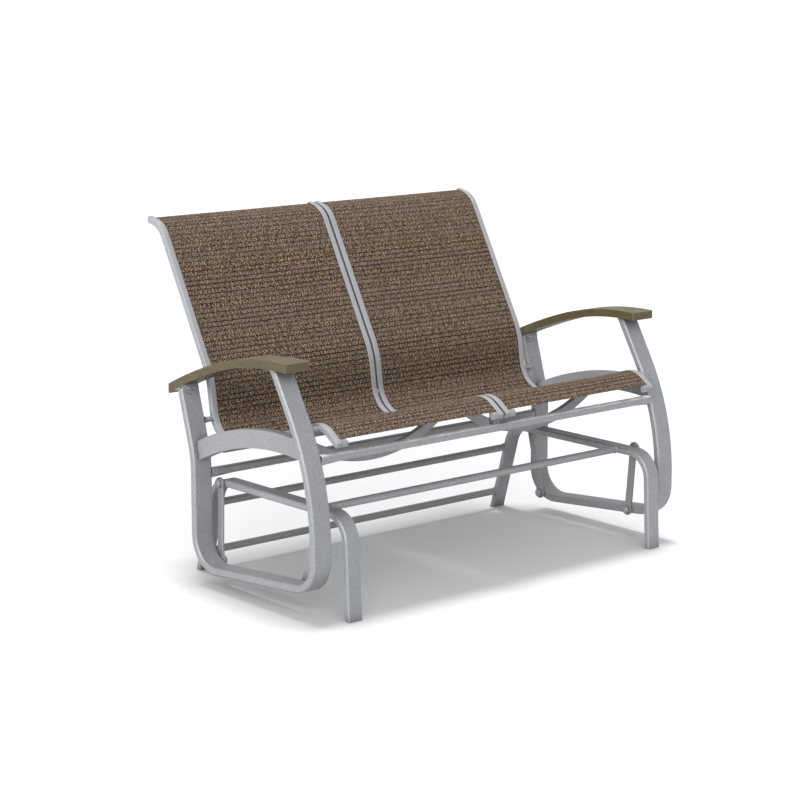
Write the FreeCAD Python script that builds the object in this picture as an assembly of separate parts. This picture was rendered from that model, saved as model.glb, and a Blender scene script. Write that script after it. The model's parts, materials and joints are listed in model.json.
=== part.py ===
import FreeCAD, Part
import math
import os

# Two-seat sling glider bench, millimetres. +Z up, +X to the sitter's left, front faces -Y.
# The origin is on the floor, at the middle of the bench's length and depth.

# Base: two arched floor frames of flat tube, held apart by three round cross bars.
BASE_X = 505.0            # middle plane of each arch
BASE_TUBE = (42.0, 17.0)  # across the bench, then thickness
BASE_TOP = 246.5          # height of the arch's centre line
FOOT_FRONT_Y = -388.0
FRONT_LEG_TOP_Y = -376.0
REAR_LEG_TOP_Y = 136.0
FOOT_REAR_Y = 207.0
BASE_BEND = 63.5
BASE_BAR_R = 9.5
BASE_BARS = {             # height and depth of each cross bar's axis
    "base_bar_front": (-266.0, 247.0),
    "base_bar_rear_upper": (158.0, 181.0),
    "base_bar_rear_lower": (194.0, 49.2),
}
GLIDE_T = 3.0

# Arm frames: one flat tube each, open at the top under the arm pad.
ARM_X = 577.0
ARM_TUBE = (54.0, 19.0)
ARM_FRONT_TOP = (-205.0, 594.7)
ARM_BOW = (-356.0, 338.4)
ARM_FRONT_CORNER = (-356.0, 79.0)
ARM_REAR_CORNER = (113.5, 40.4)
ARM_REAR_KNEE = (113.5, 318.0)
ARM_REAR_TOP = (162.5, 482.7)
ARM_BENDS = (600.0, 72.5, 78.5, 220.0)
TUBE_WALL = 2.5

# Brace: an arched flat tube between the two uprights of an arm frame.
BRACE_CENTRE = (-209.3, -313.6)
BRACE_R = 722.0
BRACE_TUBE = (25.0, 46.0)
BRACE_RUN = (-302.0, 112.0)  # depth between which the whole brace lies

# Arm pads: bent boards with a crown near the front.
PAD_T = 20.0
PAD_CROWN = (-235.0, 605.5)
PAD_R1 = 800.0
PAD_R2 = 1740.0
PAD_FRONT_Y = -274.0
PAD_BREAK_Y = 0.0
PAD_REAR_Y = 228.0
PAD_FRONT_X = (538.0, 613.0)
PAD_REAR_X = (551.0, 600.0)
PAD_SWELL = 2.5           # how far the long edges bow out in plan
PAD_TIP = 14.0            # length of the rounded rear tip
PAD_CORNER_R = 6.0
BRACKET = (46.0, 3.0)     # plate under a pad's rear end: width and thickness

# Cross rails of the seat: depth (Y), height (Z), and the place of the axis.
SEAT_RAIL = (22.0, 18.5)
SEAT_RAIL_FLARE = (57.0, 3.5, 1.0)  # length, then how far the ends grow down and up
FRONT_RAIL_AT = (-320.0, 381.0)
REAR_RAIL_AT = (114.5, 275.0)

# Sling rails: grooved extrusions that follow the seat's side view. The corners are on
# the front face, from the curled top down the back, along the seat and over the front roll.
RAIL_CORNERS = ((389.9, 880.8), (338.5, 868.0), (140.0, 509.0), (114.0, 332.0),
                (-300.0, 465.0), (-359.0, 424.0))
RAIL_BENDS = (70.0, 180.0, 78.0, 70.0)
RAIL_W = 15.5
RAIL_D = 15.5
RAIL_X = (11.25, 520.75)  # middle of the inner and of the outer rail
GROOVE_V = 4.9            # height of the groove above the rail's middle
GROOVE_MOUTH = 2.4
GROOVE_DEEP = 5.0
CAP_T = 3.0
PEG_R = 9.0
PEG_L = 17.0

# Slings
SLING_T = 1.8
SLING_TUCK = 3.0          # how far it reaches into each groove
SLING_HEM_Z = 429.5
SLING_TOP_Y = 386.0

# Spreader bars under and behind each sling
SPREADER = (24.0, 15.0)   # height in its own plane, then thickness
BOW_R = 383.0
BOW_LOW_Z = 325.0
BOW_Y = -162.0
BOW_ANGLE = 35.7          # half of the big arc, in degrees
BOW_END_R = 18.0
SEAT_SPREADER_AT = (88.4, 336.07, 0.372)  # depth, height and lean
BACK_SPREADER_Z = 790.0   # on the front of the rails
BACK_SPREADER_IN = 8.5    # from the rails' front face to the bar

# Glider linkage: pivots in the side view
PIVOT_FRONT_TOP = (-294.0, 249.5)
PIVOT_FRONT_LOW = (-259.0, 72.3)
PIVOT_REAR_TOP = (100.0, 246.2)
PIVOT_REAR_LOW = (76.0, 56.7)
LINK_T = 6.0
LINK_TOP_X = 530.4
LINK_LOW_X = 545.6
LINK_W = 21.0
EYE_R = 15.0
EYE_BORE_R = 8.06
PIN_R = 8.0               # shoulder that a link's eye turns on
PIN_R_LOOSE = 5.9         # shoulder of the front lower pins, where the loop is open
SIDE_GAP = 1.4            # between a link and the tube or head beside it
HEAD_R = 10.0
HEAD_T = 5.0

# Round standoffs between the outer sling rails and the arm frames
STANDOFFS = ((130.5, 404.0), (-290.0, 446.5))
STANDOFF_R = 7.0
MIDDLE_STANDOFF = (129.5, 404.5)
MIDDLE_STANDOFF_R = 7.7
MIDDLE_SUPPORT = (20.0, 14.0)  # width across the bench, then depth

SIDES = (("left", -1), ("right", 1))
X_AXIS = FreeCAD.Vector(1, 0, 0)


def yz(point, x=0.0):
    """A point of the side view, given as depth and height, at a place across the bench."""
    return FreeCAD.Vector(x, point[0], point[1])


def mirrored(shape, side):
    """The shape as drawn on the +X side, or its mirror image on the -X side."""
    if side > 0:
        return shape
    return shape.mirror(FreeCAD.Vector(0, 0, 0), X_AXIS)


def group(shapes):
    """One shape for a node: the solid itself, or separate solids side by side."""
    return shapes[0] if len(shapes) == 1 else Part.makeCompound(shapes)


def bent_path(corners, radii):
    """Straight runs through the corners, joined by tangent arcs."""
    edges = []
    start = corners[0]
    for i, radius in enumerate(radii):
        before, corner, after = corners[i], corners[i + 1], corners[i + 2]
        back = (before - corner).normalize()
        ahead = (after - corner).normalize()
        half = back.getAngle(ahead) / 2
        run = radius / math.tan(half)
        middle = (back + ahead).normalize()
        first = corner + back * run
        last = corner + ahead * run
        mid = corner + middle * (radius / math.sin(half) - radius)
        if (first - start).Length > 0.01:
            edges.append(Part.LineSegment(start, first).toShape())
        edges.append(Part.Arc(first, mid, last).toShape())
        start = last
    if (corners[-1] - start).Length > 0.01:
        edges.append(Part.LineSegment(start, corners[-1]).toShape())
    return Part.Wire(edges)


def eased_box_section(width, depth, radius, steps):
    """Rectangle whose corners are eased in a few flats, lying on an arc of the radius."""
    w, d = width / 2 - radius, depth / 2 - radius
    points = []
    for start, u, v in ((0, w, d), (90, -w, d), (180, -w, -d), (270, w, -d)):
        for i in range(steps + 1):
            a = math.radians(start + 90.0 * i / steps)
            points.append((u + radius * math.cos(a), v + radius * math.sin(a)))
    return closed_lines(points)


def box_section(u0, u1, v0, v1):
    """Plain rectangle as section lines."""
    return closed_lines([(u0, v0), (u1, v0), (u1, v1), (u0, v1)])


def closed_lines(points):
    """Section lines from each point to the next, and from the last to the first."""
    return list(zip(points, points[1:] + points[:1]))


def section_wire(section, origin, u_axis, v_axis):
    """Lay section lines in space, along two axes from an origin."""
    edges = []
    for line in section:
        a, b = [origin + u_axis * u + v_axis * v for u, v in line]
        edges.append(Part.LineSegment(a, b).toShape())
    return Part.Wire(edges)


def swept(section, path, u_axis=X_AXIS):
    """Carry a section along a flat path; its v axis stays square to the path."""
    start = path.OrderedVertexes[0].Point
    first = path.OrderedEdges[0]
    ends = [first.valueAt(first.FirstParameter), first.valueAt(first.LastParameter)]
    flip = (ends[0] - start).Length > 0.01
    along = first.tangentAt(first.LastParameter if flip else first.FirstParameter)
    along = along * (-1 if flip else 1)
    wire = section_wire(section, start, u_axis, along.cross(u_axis))
    return path.makePipeShell([wire], True, False)


def flat_tube(path, tube, corner):
    """Hollow flat tube along a path, and the same tube without its bore."""
    width, depth = tube
    outer = swept(eased_box_section(width, depth, corner, 1), path)
    w = width / 2 - TUBE_WALL
    d = depth / 2 - TUBE_WALL
    bore = swept(box_section(-w, w, -d, d), path)
    return outer.cut(bore), outer


def rod(start, end, radius):
    """Round bar between two points."""
    return Part.makeCylinder(radius, (end - start).Length, start, end - start)


# Base

def base_arch_path():
    """Middle line of a floor frame, run on a little below the floor at both feet."""
    corners = [(FOOT_FRONT_Y, GLIDE_T), (FRONT_LEG_TOP_Y, BASE_TOP),
               (REAR_LEG_TOP_Y, BASE_TOP), (FOOT_REAR_Y, GLIDE_T)]
    points = [yz(c, BASE_X) for c in corners]
    low_front = points[0] + (points[0] - points[1]).normalize() * 12
    low_rear = points[3] + (points[3] - points[2]).normalize() * 12
    return bent_path([low_front, points[1], points[2], low_rear], (BASE_BEND, BASE_BEND))


def base_arch():
    """One floor frame, cut level above its two glides."""
    hollow, filled = flat_tube(base_arch_path(), BASE_TUBE, 3.2)
    below = Part.makeBox(200, 1200, 100, FreeCAD.Vector(BASE_X - 100, -600, GLIDE_T - 100))
    hollow = hollow.cut(below)
    filled = filled.cut(below)
    return hollow, filled


def foot_glides(filled):
    """A plug in each foot of one arch, with a sole that stands on the floor."""
    width = BASE_TUBE[0]
    w = width / 2 - TUBE_WALL
    d = BASE_TUBE[1] / 2 - TUBE_WALL
    slab = Part.makeBox(200, 1200, 8, FreeCAD.Vector(BASE_X - 100, -600, GLIDE_T))
    plugs = swept(box_section(-w, w, -d, d), base_arch_path()).common(slab)
    skin = Part.makeBox(200, 1200, 0.01, FreeCAD.Vector(BASE_X - 100, -600, GLIDE_T))
    glides = []
    for foot in filled.common(skin).Solids:
        y0, y1 = foot.BoundBox.YMin, foot.BoundBox.YMax
        corner = FreeCAD.Vector(BASE_X - width / 2, y0, 0)
        sole = Part.makeBox(width, y1 - y0, GLIDE_T, corner)
        sole = sole.makeChamfer(2.5, [e for e in sole.Edges if abs(e.tangentAt(0).z) > 0.9])
        for plug in plugs.Solids:
            if y0 - 2 < plug.CenterOfMass.y < y1 + 2:
                sole = sole.fuse(plug)
        glides.append(sole.removeSplitter())
    return glides


def base_bar(place):
    """Round cross bar between the inner faces of the two arches."""
    half = BASE_X - BASE_TUBE[0] / 2
    return rod(yz(place, -half), yz(place, half), BASE_BAR_R)


# Arm frames

def arm_frame_path():
    """Middle line of an arm frame, from under the pad's front to under its rear."""
    corners = [ARM_FRONT_TOP, ARM_BOW, ARM_FRONT_CORNER, ARM_REAR_CORNER,
               ARM_REAR_KNEE, ARM_REAR_TOP]
    return bent_path([yz(c, ARM_X) for c in corners], ARM_BENDS)


def pad_side_face(grow=0.0):
    """Side view of an arm pad as a face at x = 0, with its underside moved down by grow."""
    cy = PAD_CROWN[0]
    cz = PAD_CROWN[1] - PAD_R1
    angle = math.asin((PAD_BREAK_Y - cy) / PAD_R1)
    c2 = (cy - (PAD_R2 - PAD_R1) * math.sin(angle), cz - (PAD_R2 - PAD_R1) * math.cos(angle))

    def on(centre, radius, y):
        return (y, centre[1] + math.sqrt(radius ** 2 - (y - centre[0]) ** 2))

    def arc(centre, radius, y0, y1):
        pts = [on(centre, radius, y) for y in (y0, (y0 + y1) / 2, y1)]
        return Part.Arc(*[yz(p) for p in pts]).toShape(), pts

    top1, t1 = arc((cy, cz), PAD_R1, PAD_FRONT_Y, PAD_BREAK_Y)
    top2, t2 = arc(c2, PAD_R2, PAD_BREAK_Y, PAD_REAR_Y)
    low = PAD_T + grow
    yb = PAD_BREAK_Y - low * math.sin(angle)
    low2, b2 = arc(c2, PAD_R2 - low, PAD_REAR_Y - 4, yb)
    low1, b1 = arc((cy, cz), PAD_R1 - low, yb, PAD_FRONT_Y)
    rear = Part.LineSegment(yz(t2[2]), yz(b2[0])).toShape()
    front = Part.LineSegment(yz(b1[2]), yz(t1[0])).toShape()
    return Part.Face(Part.Wire([top1, top2, rear, low2, low1, front]))


def arm_frame():
    """Arm frame trimmed to the pad's underside, hollow and filled."""
    hollow, filled = flat_tube(arm_frame_path(), ARM_TUBE, 3.5)
    hollow = hollow.cut(pad_block())
    filled = filled.cut(pad_block())
    hollow = max(hollow.Solids, key=lambda s: s.Volume)
    filled = max(filled.Solids, key=lambda s: s.Volume)
    return hollow, filled


def pad_block():
    """All the space an arm pad takes, and what is above it."""
    block = pad_side_face().extrude(X_AXIS * 200)
    block.translate(FreeCAD.Vector(480, 0, 0))
    lift = block.copy()
    lift.translate(FreeCAD.Vector(0, 0, 12))
    return block.fuse(lift)


def brace_sector(r0, r1, x0, x1):
    """Part of a ring between two radii round the brace's centre."""
    cy, cz = BRACE_CENTRE
    points = []
    for radius in (r0, r1):
        for y in (-330.0, -100.0, 130.0):
            points.append(yz((y, cz + math.sqrt(radius ** 2 - (y - cy) ** 2)), x0))
    low = Part.Arc(*points[:3]).toShape()
    rear = Part.LineSegment(points[2], points[5]).toShape()
    high = Part.Arc(*points[:2:-1]).toShape()
    front = Part.LineSegment(points[3], points[0]).toShape()
    return Part.Face(Part.Wire([low, rear, high, front])).extrude(X_AXIS * (x1 - x0))


def arm_brace(filled_frame):
    """Arched tube cut to fit between the front and the rear upright."""
    half = BRACE_TUBE[1] / 2
    x0 = ARM_X - BRACE_TUBE[0] / 2
    x1 = ARM_X + BRACE_TUBE[0] / 2
    outer = brace_sector(BRACE_R - half, BRACE_R + half, x0, x1)
    front, rear = BRACE_RUN
    inside = Part.makeBox(200, rear - front, 300, FreeCAD.Vector(480, front, 280))
    brace = outer.cut(filled_frame).common(inside)
    return max(brace.Solids, key=lambda s: s.Volume)


def pad_plan():
    """Plan view of a pad: straight front, bowed sides and a rounded rear tip."""
    f0, f1 = PAD_FRONT_X
    r0, r1 = PAD_REAR_X
    middle = (PAD_FRONT_Y + PAD_REAR_Y) / 2
    shoulder = PAD_REAR_Y - PAD_TIP
    front = [FreeCAD.Vector(x, PAD_FRONT_Y, 0) for x in (f0, f1)]
    rear = [FreeCAD.Vector(x, shoulder, 0) for x in (r0, r1)]
    outer = FreeCAD.Vector((f1 + r1) / 2 + PAD_SWELL, middle, 0)
    inner = FreeCAD.Vector((f0 + r0) / 2 - PAD_SWELL, middle, 0)
    tip = FreeCAD.Vector((r0 + r1) / 2, PAD_REAR_Y, 0)
    edges = [Part.LineSegment(front[0], front[1]), Part.Arc(front[1], outer, rear[1]),
             Part.Arc(rear[1], tip, rear[0]), Part.Arc(rear[0], inner, front[0])]
    return Part.Face(Part.Wire([e.toShape() for e in edges]))


def arm_pad():
    """Bent board, tapered towards the rear, with rounded front corners."""
    side = pad_side_face().extrude(X_AXIS * 200)
    side.translate(FreeCAD.Vector(480, 0, 0))
    pad = side.common(pad_plan().extrude(FreeCAD.Vector(0, 0, 700)))
    corners = [e for e in pad.Edges
               if e.BoundBox.YMax < PAD_FRONT_Y + 3 and e.BoundBox.ZLength > 10]
    return pad.makeFillet(PAD_CORNER_R, corners)


def pad_bracket():
    """Bent plate that ties the pad's rear end to the top of the rear upright."""
    top = yz(ARM_REAR_TOP, ARM_X)
    lean = (yz(ARM_REAR_TOP) - yz(ARM_REAR_KNEE)).normalize()
    out = lean.cross(X_AXIS).normalize()
    out = out * (-1 if out.y > 0 else 1)
    face = top + out * (ARM_TUBE[1] / 2)
    up, shoulder, foot = face + lean * 14, face - lean * 2, face - lean * 16
    half = X_AXIS * (BRACKET[0] / 2)
    edges = [Part.LineSegment(up - half, up + half), Part.LineSegment(up + half, shoulder + half),
             Part.Arc(shoulder + half, foot, shoulder - half),
             Part.LineSegment(shoulder - half, up - half)]
    leg = Part.Face(Part.Wire([e.toShape() for e in edges])).extrude(out * BRACKET[1])
    under = pad_side_face(BRACKET[1]).cut(pad_side_face()).extrude(X_AXIS * BRACKET[0])
    under.translate(FreeCAD.Vector(ARM_X - BRACKET[0] / 2, 0, 0))
    under = under.common(Part.makeBox(200, 34, 120, FreeCAD.Vector(480, up.y - 6, 430)))
    bracket = leg.fuse(under).cut(pad_block())
    return max(bracket.removeSplitter().Solids, key=lambda s: s.Volume)


# Seat frame

def seat_rail(place):
    """Flat tube across the bench; its ends flare where they meet the uprights."""
    y, z = place
    depth, height = SEAT_RAIL
    length, down, up = SEAT_RAIL_FLARE
    reach = ARM_X - ARM_TUBE[0] / 2

    def ring_at(x, below, above):
        section = eased_box_section(depth, height + below + above, 4.0, 3)
        centre = FreeCAD.Vector(x, y, z + (above - below) / 2)
        return section_wire(section, centre, FreeCAD.Vector(0, 1, 0), FreeCAD.Vector(0, 0, 1))

    rings = [ring_at(-reach, down, up), ring_at(length - reach, 0.0, 0.0),
             ring_at(reach - length, 0.0, 0.0), ring_at(reach, down, up)]
    solid = Part.makeLoft(rings, True, True)
    w = TUBE_WALL
    bore = Part.makeBox(2 * reach, depth - 2 * w, height - 2 * w,
                        FreeCAD.Vector(-reach, y - depth / 2 + w, z - height / 2 + w))
    return solid.cut(bore)


def rail_path(inset, corners=RAIL_CORNERS, bends=RAIL_BENDS, x=0.0):
    """The rails' side view, moved back from the front face by the inset."""
    points = [yz(c, x) for c in corners]
    moved = []
    for i, p in enumerate(points):
        a = points[max(i - 1, 0)]
        b = points[min(i + 1, len(points) - 1)]
        if i == 0:
            n = (points[1] - p).cross(X_AXIS).normalize()
            moved.append(p - n * inset)
        elif i == len(points) - 1:
            n = (p - points[-2]).cross(X_AXIS).normalize()
            moved.append(p - n * inset)
        else:
            n0 = (p - a).cross(X_AXIS).normalize()
            n1 = (b - p).cross(X_AXIS).normalize()
            n = (n0 + n1).normalize()
            moved.append(p - n * (inset / n.dot(n0)))
    radii = []
    for i, radius in enumerate(bends):
        turn = (points[i + 1] - points[i]).cross(points[i + 2] - points[i + 1]).x
        radii.append(radius - inset if turn * 1 > 0 else radius + inset)
    return bent_path(moved, radii)


def rail_section(toward):
    """Extrusion with a slot in its side that opens towards the sling."""
    w, d = RAIL_W / 2, RAIL_D / 2
    high, low = GROOVE_V + GROOVE_MOUTH / 2, GROOVE_V - GROOVE_MOUTH / 2
    deep = w - GROOVE_DEEP
    points = [(-w, d), (w, d), (w, high), (deep, high), (deep, low), (w, low), (w, -d), (-w, -d)]
    return closed_lines([(toward * u, v) for u, v in points])


def sling_rail(x, toward):
    """One grooved rail at x, open towards its sling."""
    path = rail_path(RAIL_D / 2)
    path.translate(X_AXIS * x)
    return swept(rail_section(toward), path)


def rail_end(path, last):
    """Point and outward direction of one end of the rails' middle line."""
    edge = path.OrderedEdges[-1 if last else 0]
    tip = path.OrderedVertexes[-1 if last else 0].Point
    other = path.OrderedVertexes[-2 if last else 1].Point
    return tip, (tip - other).normalize()


def rail_cap(x, toward, last):
    """Closing cap of a rail; the front ones carry a round peg below the sling's hem."""
    path = rail_path(RAIL_D / 2)
    path.translate(X_AXIS * x)
    tip, out = rail_end(path, last)
    section = eased_box_section(RAIL_W, RAIL_D, 2.0, 1)
    wire = section_wire(section, tip, X_AXIS, out.cross(X_AXIS))
    cap = Part.Face(wire).extrude(out * CAP_T)
    if last:
        root = tip + X_AXIS * (toward * RAIL_W / 2) + out * (CAP_T - 6.0)
        cap = cap.fuse(Part.makeCylinder(PEG_R, PEG_L, root, X_AXIS * toward))
    return cap.removeSplitter()


def sling():
    """Taut cloth between the two rails of the +X seat, hemmed above the rails' ends."""
    x0 = RAIL_X[0] + RAIL_W / 2 - SLING_TUCK
    x1 = RAIL_X[1] - RAIL_W / 2 + SLING_TUCK
    half = (x1 - x0) / 2
    path = rail_path(RAIL_D / 2 - GROOVE_V)
    path.translate(X_AXIS * (x0 + half))
    cloth = swept(box_section(-half, half, -SLING_T / 2, SLING_T / 2), path)
    below = Part.makeBox(600, 100, 60, FreeCAD.Vector(0, -400, SLING_HEM_Z - 60))
    behind = Part.makeBox(600, 60, 80, FreeCAD.Vector(0, SLING_TOP_Y, 820))
    return cloth.cut(below).cut(behind)


def bow_path():
    """Middle line of a front spreader: level, down, along a big arc, up and level."""
    mid = (RAIL_X[0] + RAIL_X[1]) / 2
    reach = (RAIL_X[1] - RAIL_X[0]) / 2 - RAIL_W / 2
    angle = math.radians(BOW_ANGLE)
    small = BOW_END_R

    def on_circle(centre, radius, turn):
        return centre + FreeCAD.Vector(radius * math.sin(turn), 0, -radius * math.cos(turn))

    centre = FreeCAD.Vector(mid, BOW_Y, BOW_LOW_Z + BOW_R)
    foot = [on_circle(centre, BOW_R, side * angle) for side in (-1, 1)]
    ends = []
    for point, side in zip(foot, (-1, 1)):
        middle = on_circle(centre, BOW_R + small, side * angle)
        half_way = on_circle(middle, -small, side * angle / 2)
        level = middle + FreeCAD.Vector(0, 0, small)
        stop = FreeCAD.Vector(mid + side * reach, BOW_Y, level.z)
        ends.append((point, half_way, level, stop))
    (p0, h0, l0, s0), (p1, h1, l1, s1) = ends
    edges = [Part.LineSegment(s0, l0), Part.Arc(l0, h0, p0),
             Part.Arc(p0, on_circle(centre, BOW_R, 0), p1),
             Part.Arc(p1, h1, l1), Part.LineSegment(l1, s1)]
    return Part.Wire([e.toShape() for e in edges])


def seat_bow():
    """Front spreader of the +X sling: a flat tube that dips and levels at the rails."""
    height, depth = SPREADER
    section = box_section(-depth / 2, depth / 2, -height / 2, height / 2)
    return swept(section, bow_path(), FreeCAD.Vector(0, 1, 0))


def behind_back(height):
    """Where the axis of a bar between the back's rails lies, and its lean."""
    low, high = RAIL_CORNERS[2], RAIL_CORNERS[1]
    lean = math.atan2(high[0] - low[0], high[1] - low[1])
    y = low[0] + (height - low[1]) * math.tan(lean)
    off = BACK_SPREADER_IN + SPREADER[1] / 2
    return y + off * math.cos(lean), height - off * math.sin(lean), -lean


def straight_spreader(y, z, lean, x0, x1):
    """Straight flat tube with rounded ends, from x0 to x1."""
    height, depth = SPREADER
    up = FreeCAD.Vector(0, -math.sin(lean), math.cos(lean))
    across = FreeCAD.Vector(0, math.cos(lean), math.sin(lean))
    centre = FreeCAD.Vector(x0, y, z)
    wire = section_wire(eased_box_section(depth, height, 5.0, 3), centre, across, up)
    return Part.Face(wire).extrude(X_AXIS * (x1 - x0))


# Glider linkage

def pivot_pin(place, x_tube, toward, radius):
    """Pin welded to a tube's side: a shoulder the link turns on, and a head that keeps it."""
    start = yz(place, x_tube)
    along = X_AXIS * toward
    shoulder = LINK_T + 2 * SIDE_GAP
    pin = Part.makeCylinder(radius, shoulder + 1.0, start, along)
    head = Part.makeCylinder(HEAD_R, HEAD_T, start + along * shoulder, along)
    return pin.fuse(head).removeSplitter()


def hang_link(top, low):
    """Flat steel link with two round eyes, set over sideways between them."""
    a, b = yz(top), yz(low)
    length = (b - a).Length
    along = (b - a).normalize()
    across = along.cross(X_AXIS).normalize()
    half = LINK_W / 2
    # outline seen from the side: two eyes and the bar between them
    drop = math.sqrt(EYE_R ** 2 - half ** 2)
    r1 = across * half
    wire = Part.Wire([
        Part.LineSegment(a + along * drop + r1, b - along * drop + r1).toShape(),
        Part.Arc(b - along * drop + r1, b + along * EYE_R, b - along * drop - r1).toShape(),
        Part.LineSegment(b - along * drop - r1, a + along * drop - r1).toShape(),
        Part.Arc(a + along * drop - r1, a - along * EYE_R, a + along * drop + r1).toShape()])
    outline = Part.Face(wire).extrude(X_AXIS * 60)
    outline.translate(X_AXIS * 510)
    # strip seen from the front: straight, set over, straight
    x0, x1 = LINK_TOP_X, LINK_LOW_X
    stops = [(-30.0, x0), (length * 0.15, x0), (length * 0.85, x1), (length + 30.0, x1)]
    points = [FreeCAD.Vector(x, 0, 0) + a + along * s for s, x in stops]
    path = bent_path(points, (9.0, 9.0))
    strip = swept(box_section(-30.0, 30.0, -LINK_T / 2, LINK_T / 2), path, across)
    link = strip.common(outline)
    for eye in (a, b):
        link = link.cut(rod(eye + X_AXIS * 515, eye + X_AXIS * 560, EYE_BORE_R))
    return max(link.Solids, key=lambda s: s.Volume)


def middle_support():
    """Saddle block on the front cross rail that carries the two inner rails."""
    y, z = FRONT_RAIL_AT
    floor = z + SEAT_RAIL[1] / 2
    half, depth = MIDDLE_SUPPORT[0] / 2, MIDDLE_SUPPORT[1]
    block = Part.makeBox(2 * half, depth, 80, FreeCAD.Vector(-half, y - depth / 2, floor))
    path = rail_path(RAIL_D / 2)
    path.translate(X_AXIS * -half)
    rails = swept(box_section(0, 2 * half, -RAIL_D / 2, 60), path)
    return min(block.cut(rails).Solids, key=lambda p: p.CenterOfMass.z)


# Assembly

def build_base(parts):
    """Floor frames, cross bars, glides and the pins that the links hang from."""
    hollow, filled = base_arch()
    arches = {name: mirrored(hollow, side) for name, side in SIDES}
    for name, arch in arches.items():
        parts["base_arch_" + name] = [arch]
    for name, place in BASE_BARS.items():
        parts[name] = [base_bar(place)]
    glides = foot_glides(filled)
    parts["foot_glides"] = [mirrored(g, side) for _, side in SIDES for g in glides]
    face = BASE_X + BASE_TUBE[0] / 2
    pins = [pivot_pin(p, face, 1, PIN_R) for p in (PIVOT_FRONT_TOP, PIVOT_REAR_TOP)]
    parts["top_pivot_pins"] = [mirrored(p, side) for _, side in SIDES for p in pins]


def build_links(parts):
    """The four hang links."""
    for end, top, low in (("front", PIVOT_FRONT_TOP, PIVOT_FRONT_LOW),
                          ("rear", PIVOT_REAR_TOP, PIVOT_REAR_LOW)):
        link = hang_link(top, low)
        for name, side in SIDES:
            parts["link_%s_%s" % (end, name)] = [mirrored(link, side)]


def build_arms(parts):
    """Arm frames with their braces, pads, brackets and the pins at the links' feet."""
    hollow, filled = arm_frame()
    brace = arm_brace(filled)
    pad = arm_pad()
    bracket = pad_bracket()
    for name, side in SIDES:
        parts["arm_frame_" + name] = [mirrored(hollow, side)]
        parts["arm_brace_" + name] = [mirrored(brace, side)]
        parts["arm_pad_" + name] = [mirrored(pad, side)]
        parts["pad_bracket_" + name] = [mirrored(bracket, side)]
    face = ARM_X - ARM_TUBE[0] / 2
    pins = [pivot_pin(PIVOT_FRONT_LOW, face, -1, PIN_R_LOOSE),
            pivot_pin(PIVOT_REAR_LOW, face, -1, PIN_R)]
    parts["low_pivot_pins"] = [mirrored(p, side) for _, side in SIDES for p in pins]


def build_seat(parts):
    """Cross rails, sling rails, slings, spreaders, caps and standoffs."""
    parts["seat_rail_front"] = [seat_rail(FRONT_RAIL_AT)]
    parts["seat_rail_rear"] = [seat_rail(REAR_RAIL_AT)]
    inner, outer = RAIL_X
    inner_rail = sling_rail(inner, 1)
    outer_rail = sling_rail(outer, -1)
    cloth = sling()
    for name, side in SIDES:
        parts["sling_rail_outer_" + name] = [mirrored(outer_rail, side)]
        parts["sling_rail_inner_" + name] = [mirrored(inner_rail, side)]
        parts["sling_" + name] = [mirrored(cloth, side)]
    for node, last in (("rail_caps_top", False), ("rail_caps_front", True)):
        caps = [rail_cap(inner, 1, last), rail_cap(outer, -1, last)]
        parts[node] = [mirrored(c, side) for _, side in SIDES for c in caps]
    bow = seat_bow()
    x0 = inner - RAIL_W / 2 + 1
    x1 = outer + RAIL_W / 2 - 1
    rear = straight_spreader(*SEAT_SPREADER_AT, x0, x1)
    x0 = inner + RAIL_W / 2
    x1 = outer - RAIL_W / 2
    back = straight_spreader(*behind_back(BACK_SPREADER_Z), x0, x1)
    for name, side in SIDES:
        parts["seat_bow_" + name] = [mirrored(bow, side)]
        parts["seat_spreader_" + name] = [mirrored(rear, side)]
        parts["back_spreader_" + name] = [mirrored(back, side)]
    rail_face = outer + RAIL_W / 2
    arm_face = ARM_X - ARM_TUBE[0] / 2
    standoffs = [rod(yz(p, rail_face), yz(p, arm_face), STANDOFF_R) for p in STANDOFFS]
    gap = inner - RAIL_W / 2
    parts["standoffs"] = [mirrored(s, side) for _, side in SIDES for s in standoffs]
    parts["standoffs"].append(rod(yz(MIDDLE_STANDOFF, -gap), yz(MIDDLE_STANDOFF, gap),
                                  MIDDLE_STANDOFF_R))
    parts["middle_support"] = [middle_support()]


def main():
    os.makedirs("parts", exist_ok=True)
    parts = {}
    build_base(parts)
    build_links(parts)
    build_arms(parts)
    build_seat(parts)
    for name, solids in parts.items():
        group(solids).exportStep("parts/%s.step" % name)
    print(len(parts), "nodes,", sum(len(s) for s in parts.values()), "solids")


main()
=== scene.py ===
"""Looks of a two-seat sling glider bench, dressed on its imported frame.

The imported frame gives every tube, rail, link, pin, cap and arm pad, in metres: +Z is up, +X is
the picture's right and the front faces -Y. This script gives each of them its finish, weaves
the two slings and adds the small trim that a real bench carries: weld beads, nylon washers
beside the links, stepped caps on the pins, and a round cup with two screws on each pad bracket.
"""
import json
import logging
import math
from dataclasses import dataclass, field
from enum import Enum
from typing import Any, Iterable

import bmesh
import bpy
from mathutils import Matrix, Vector

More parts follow.
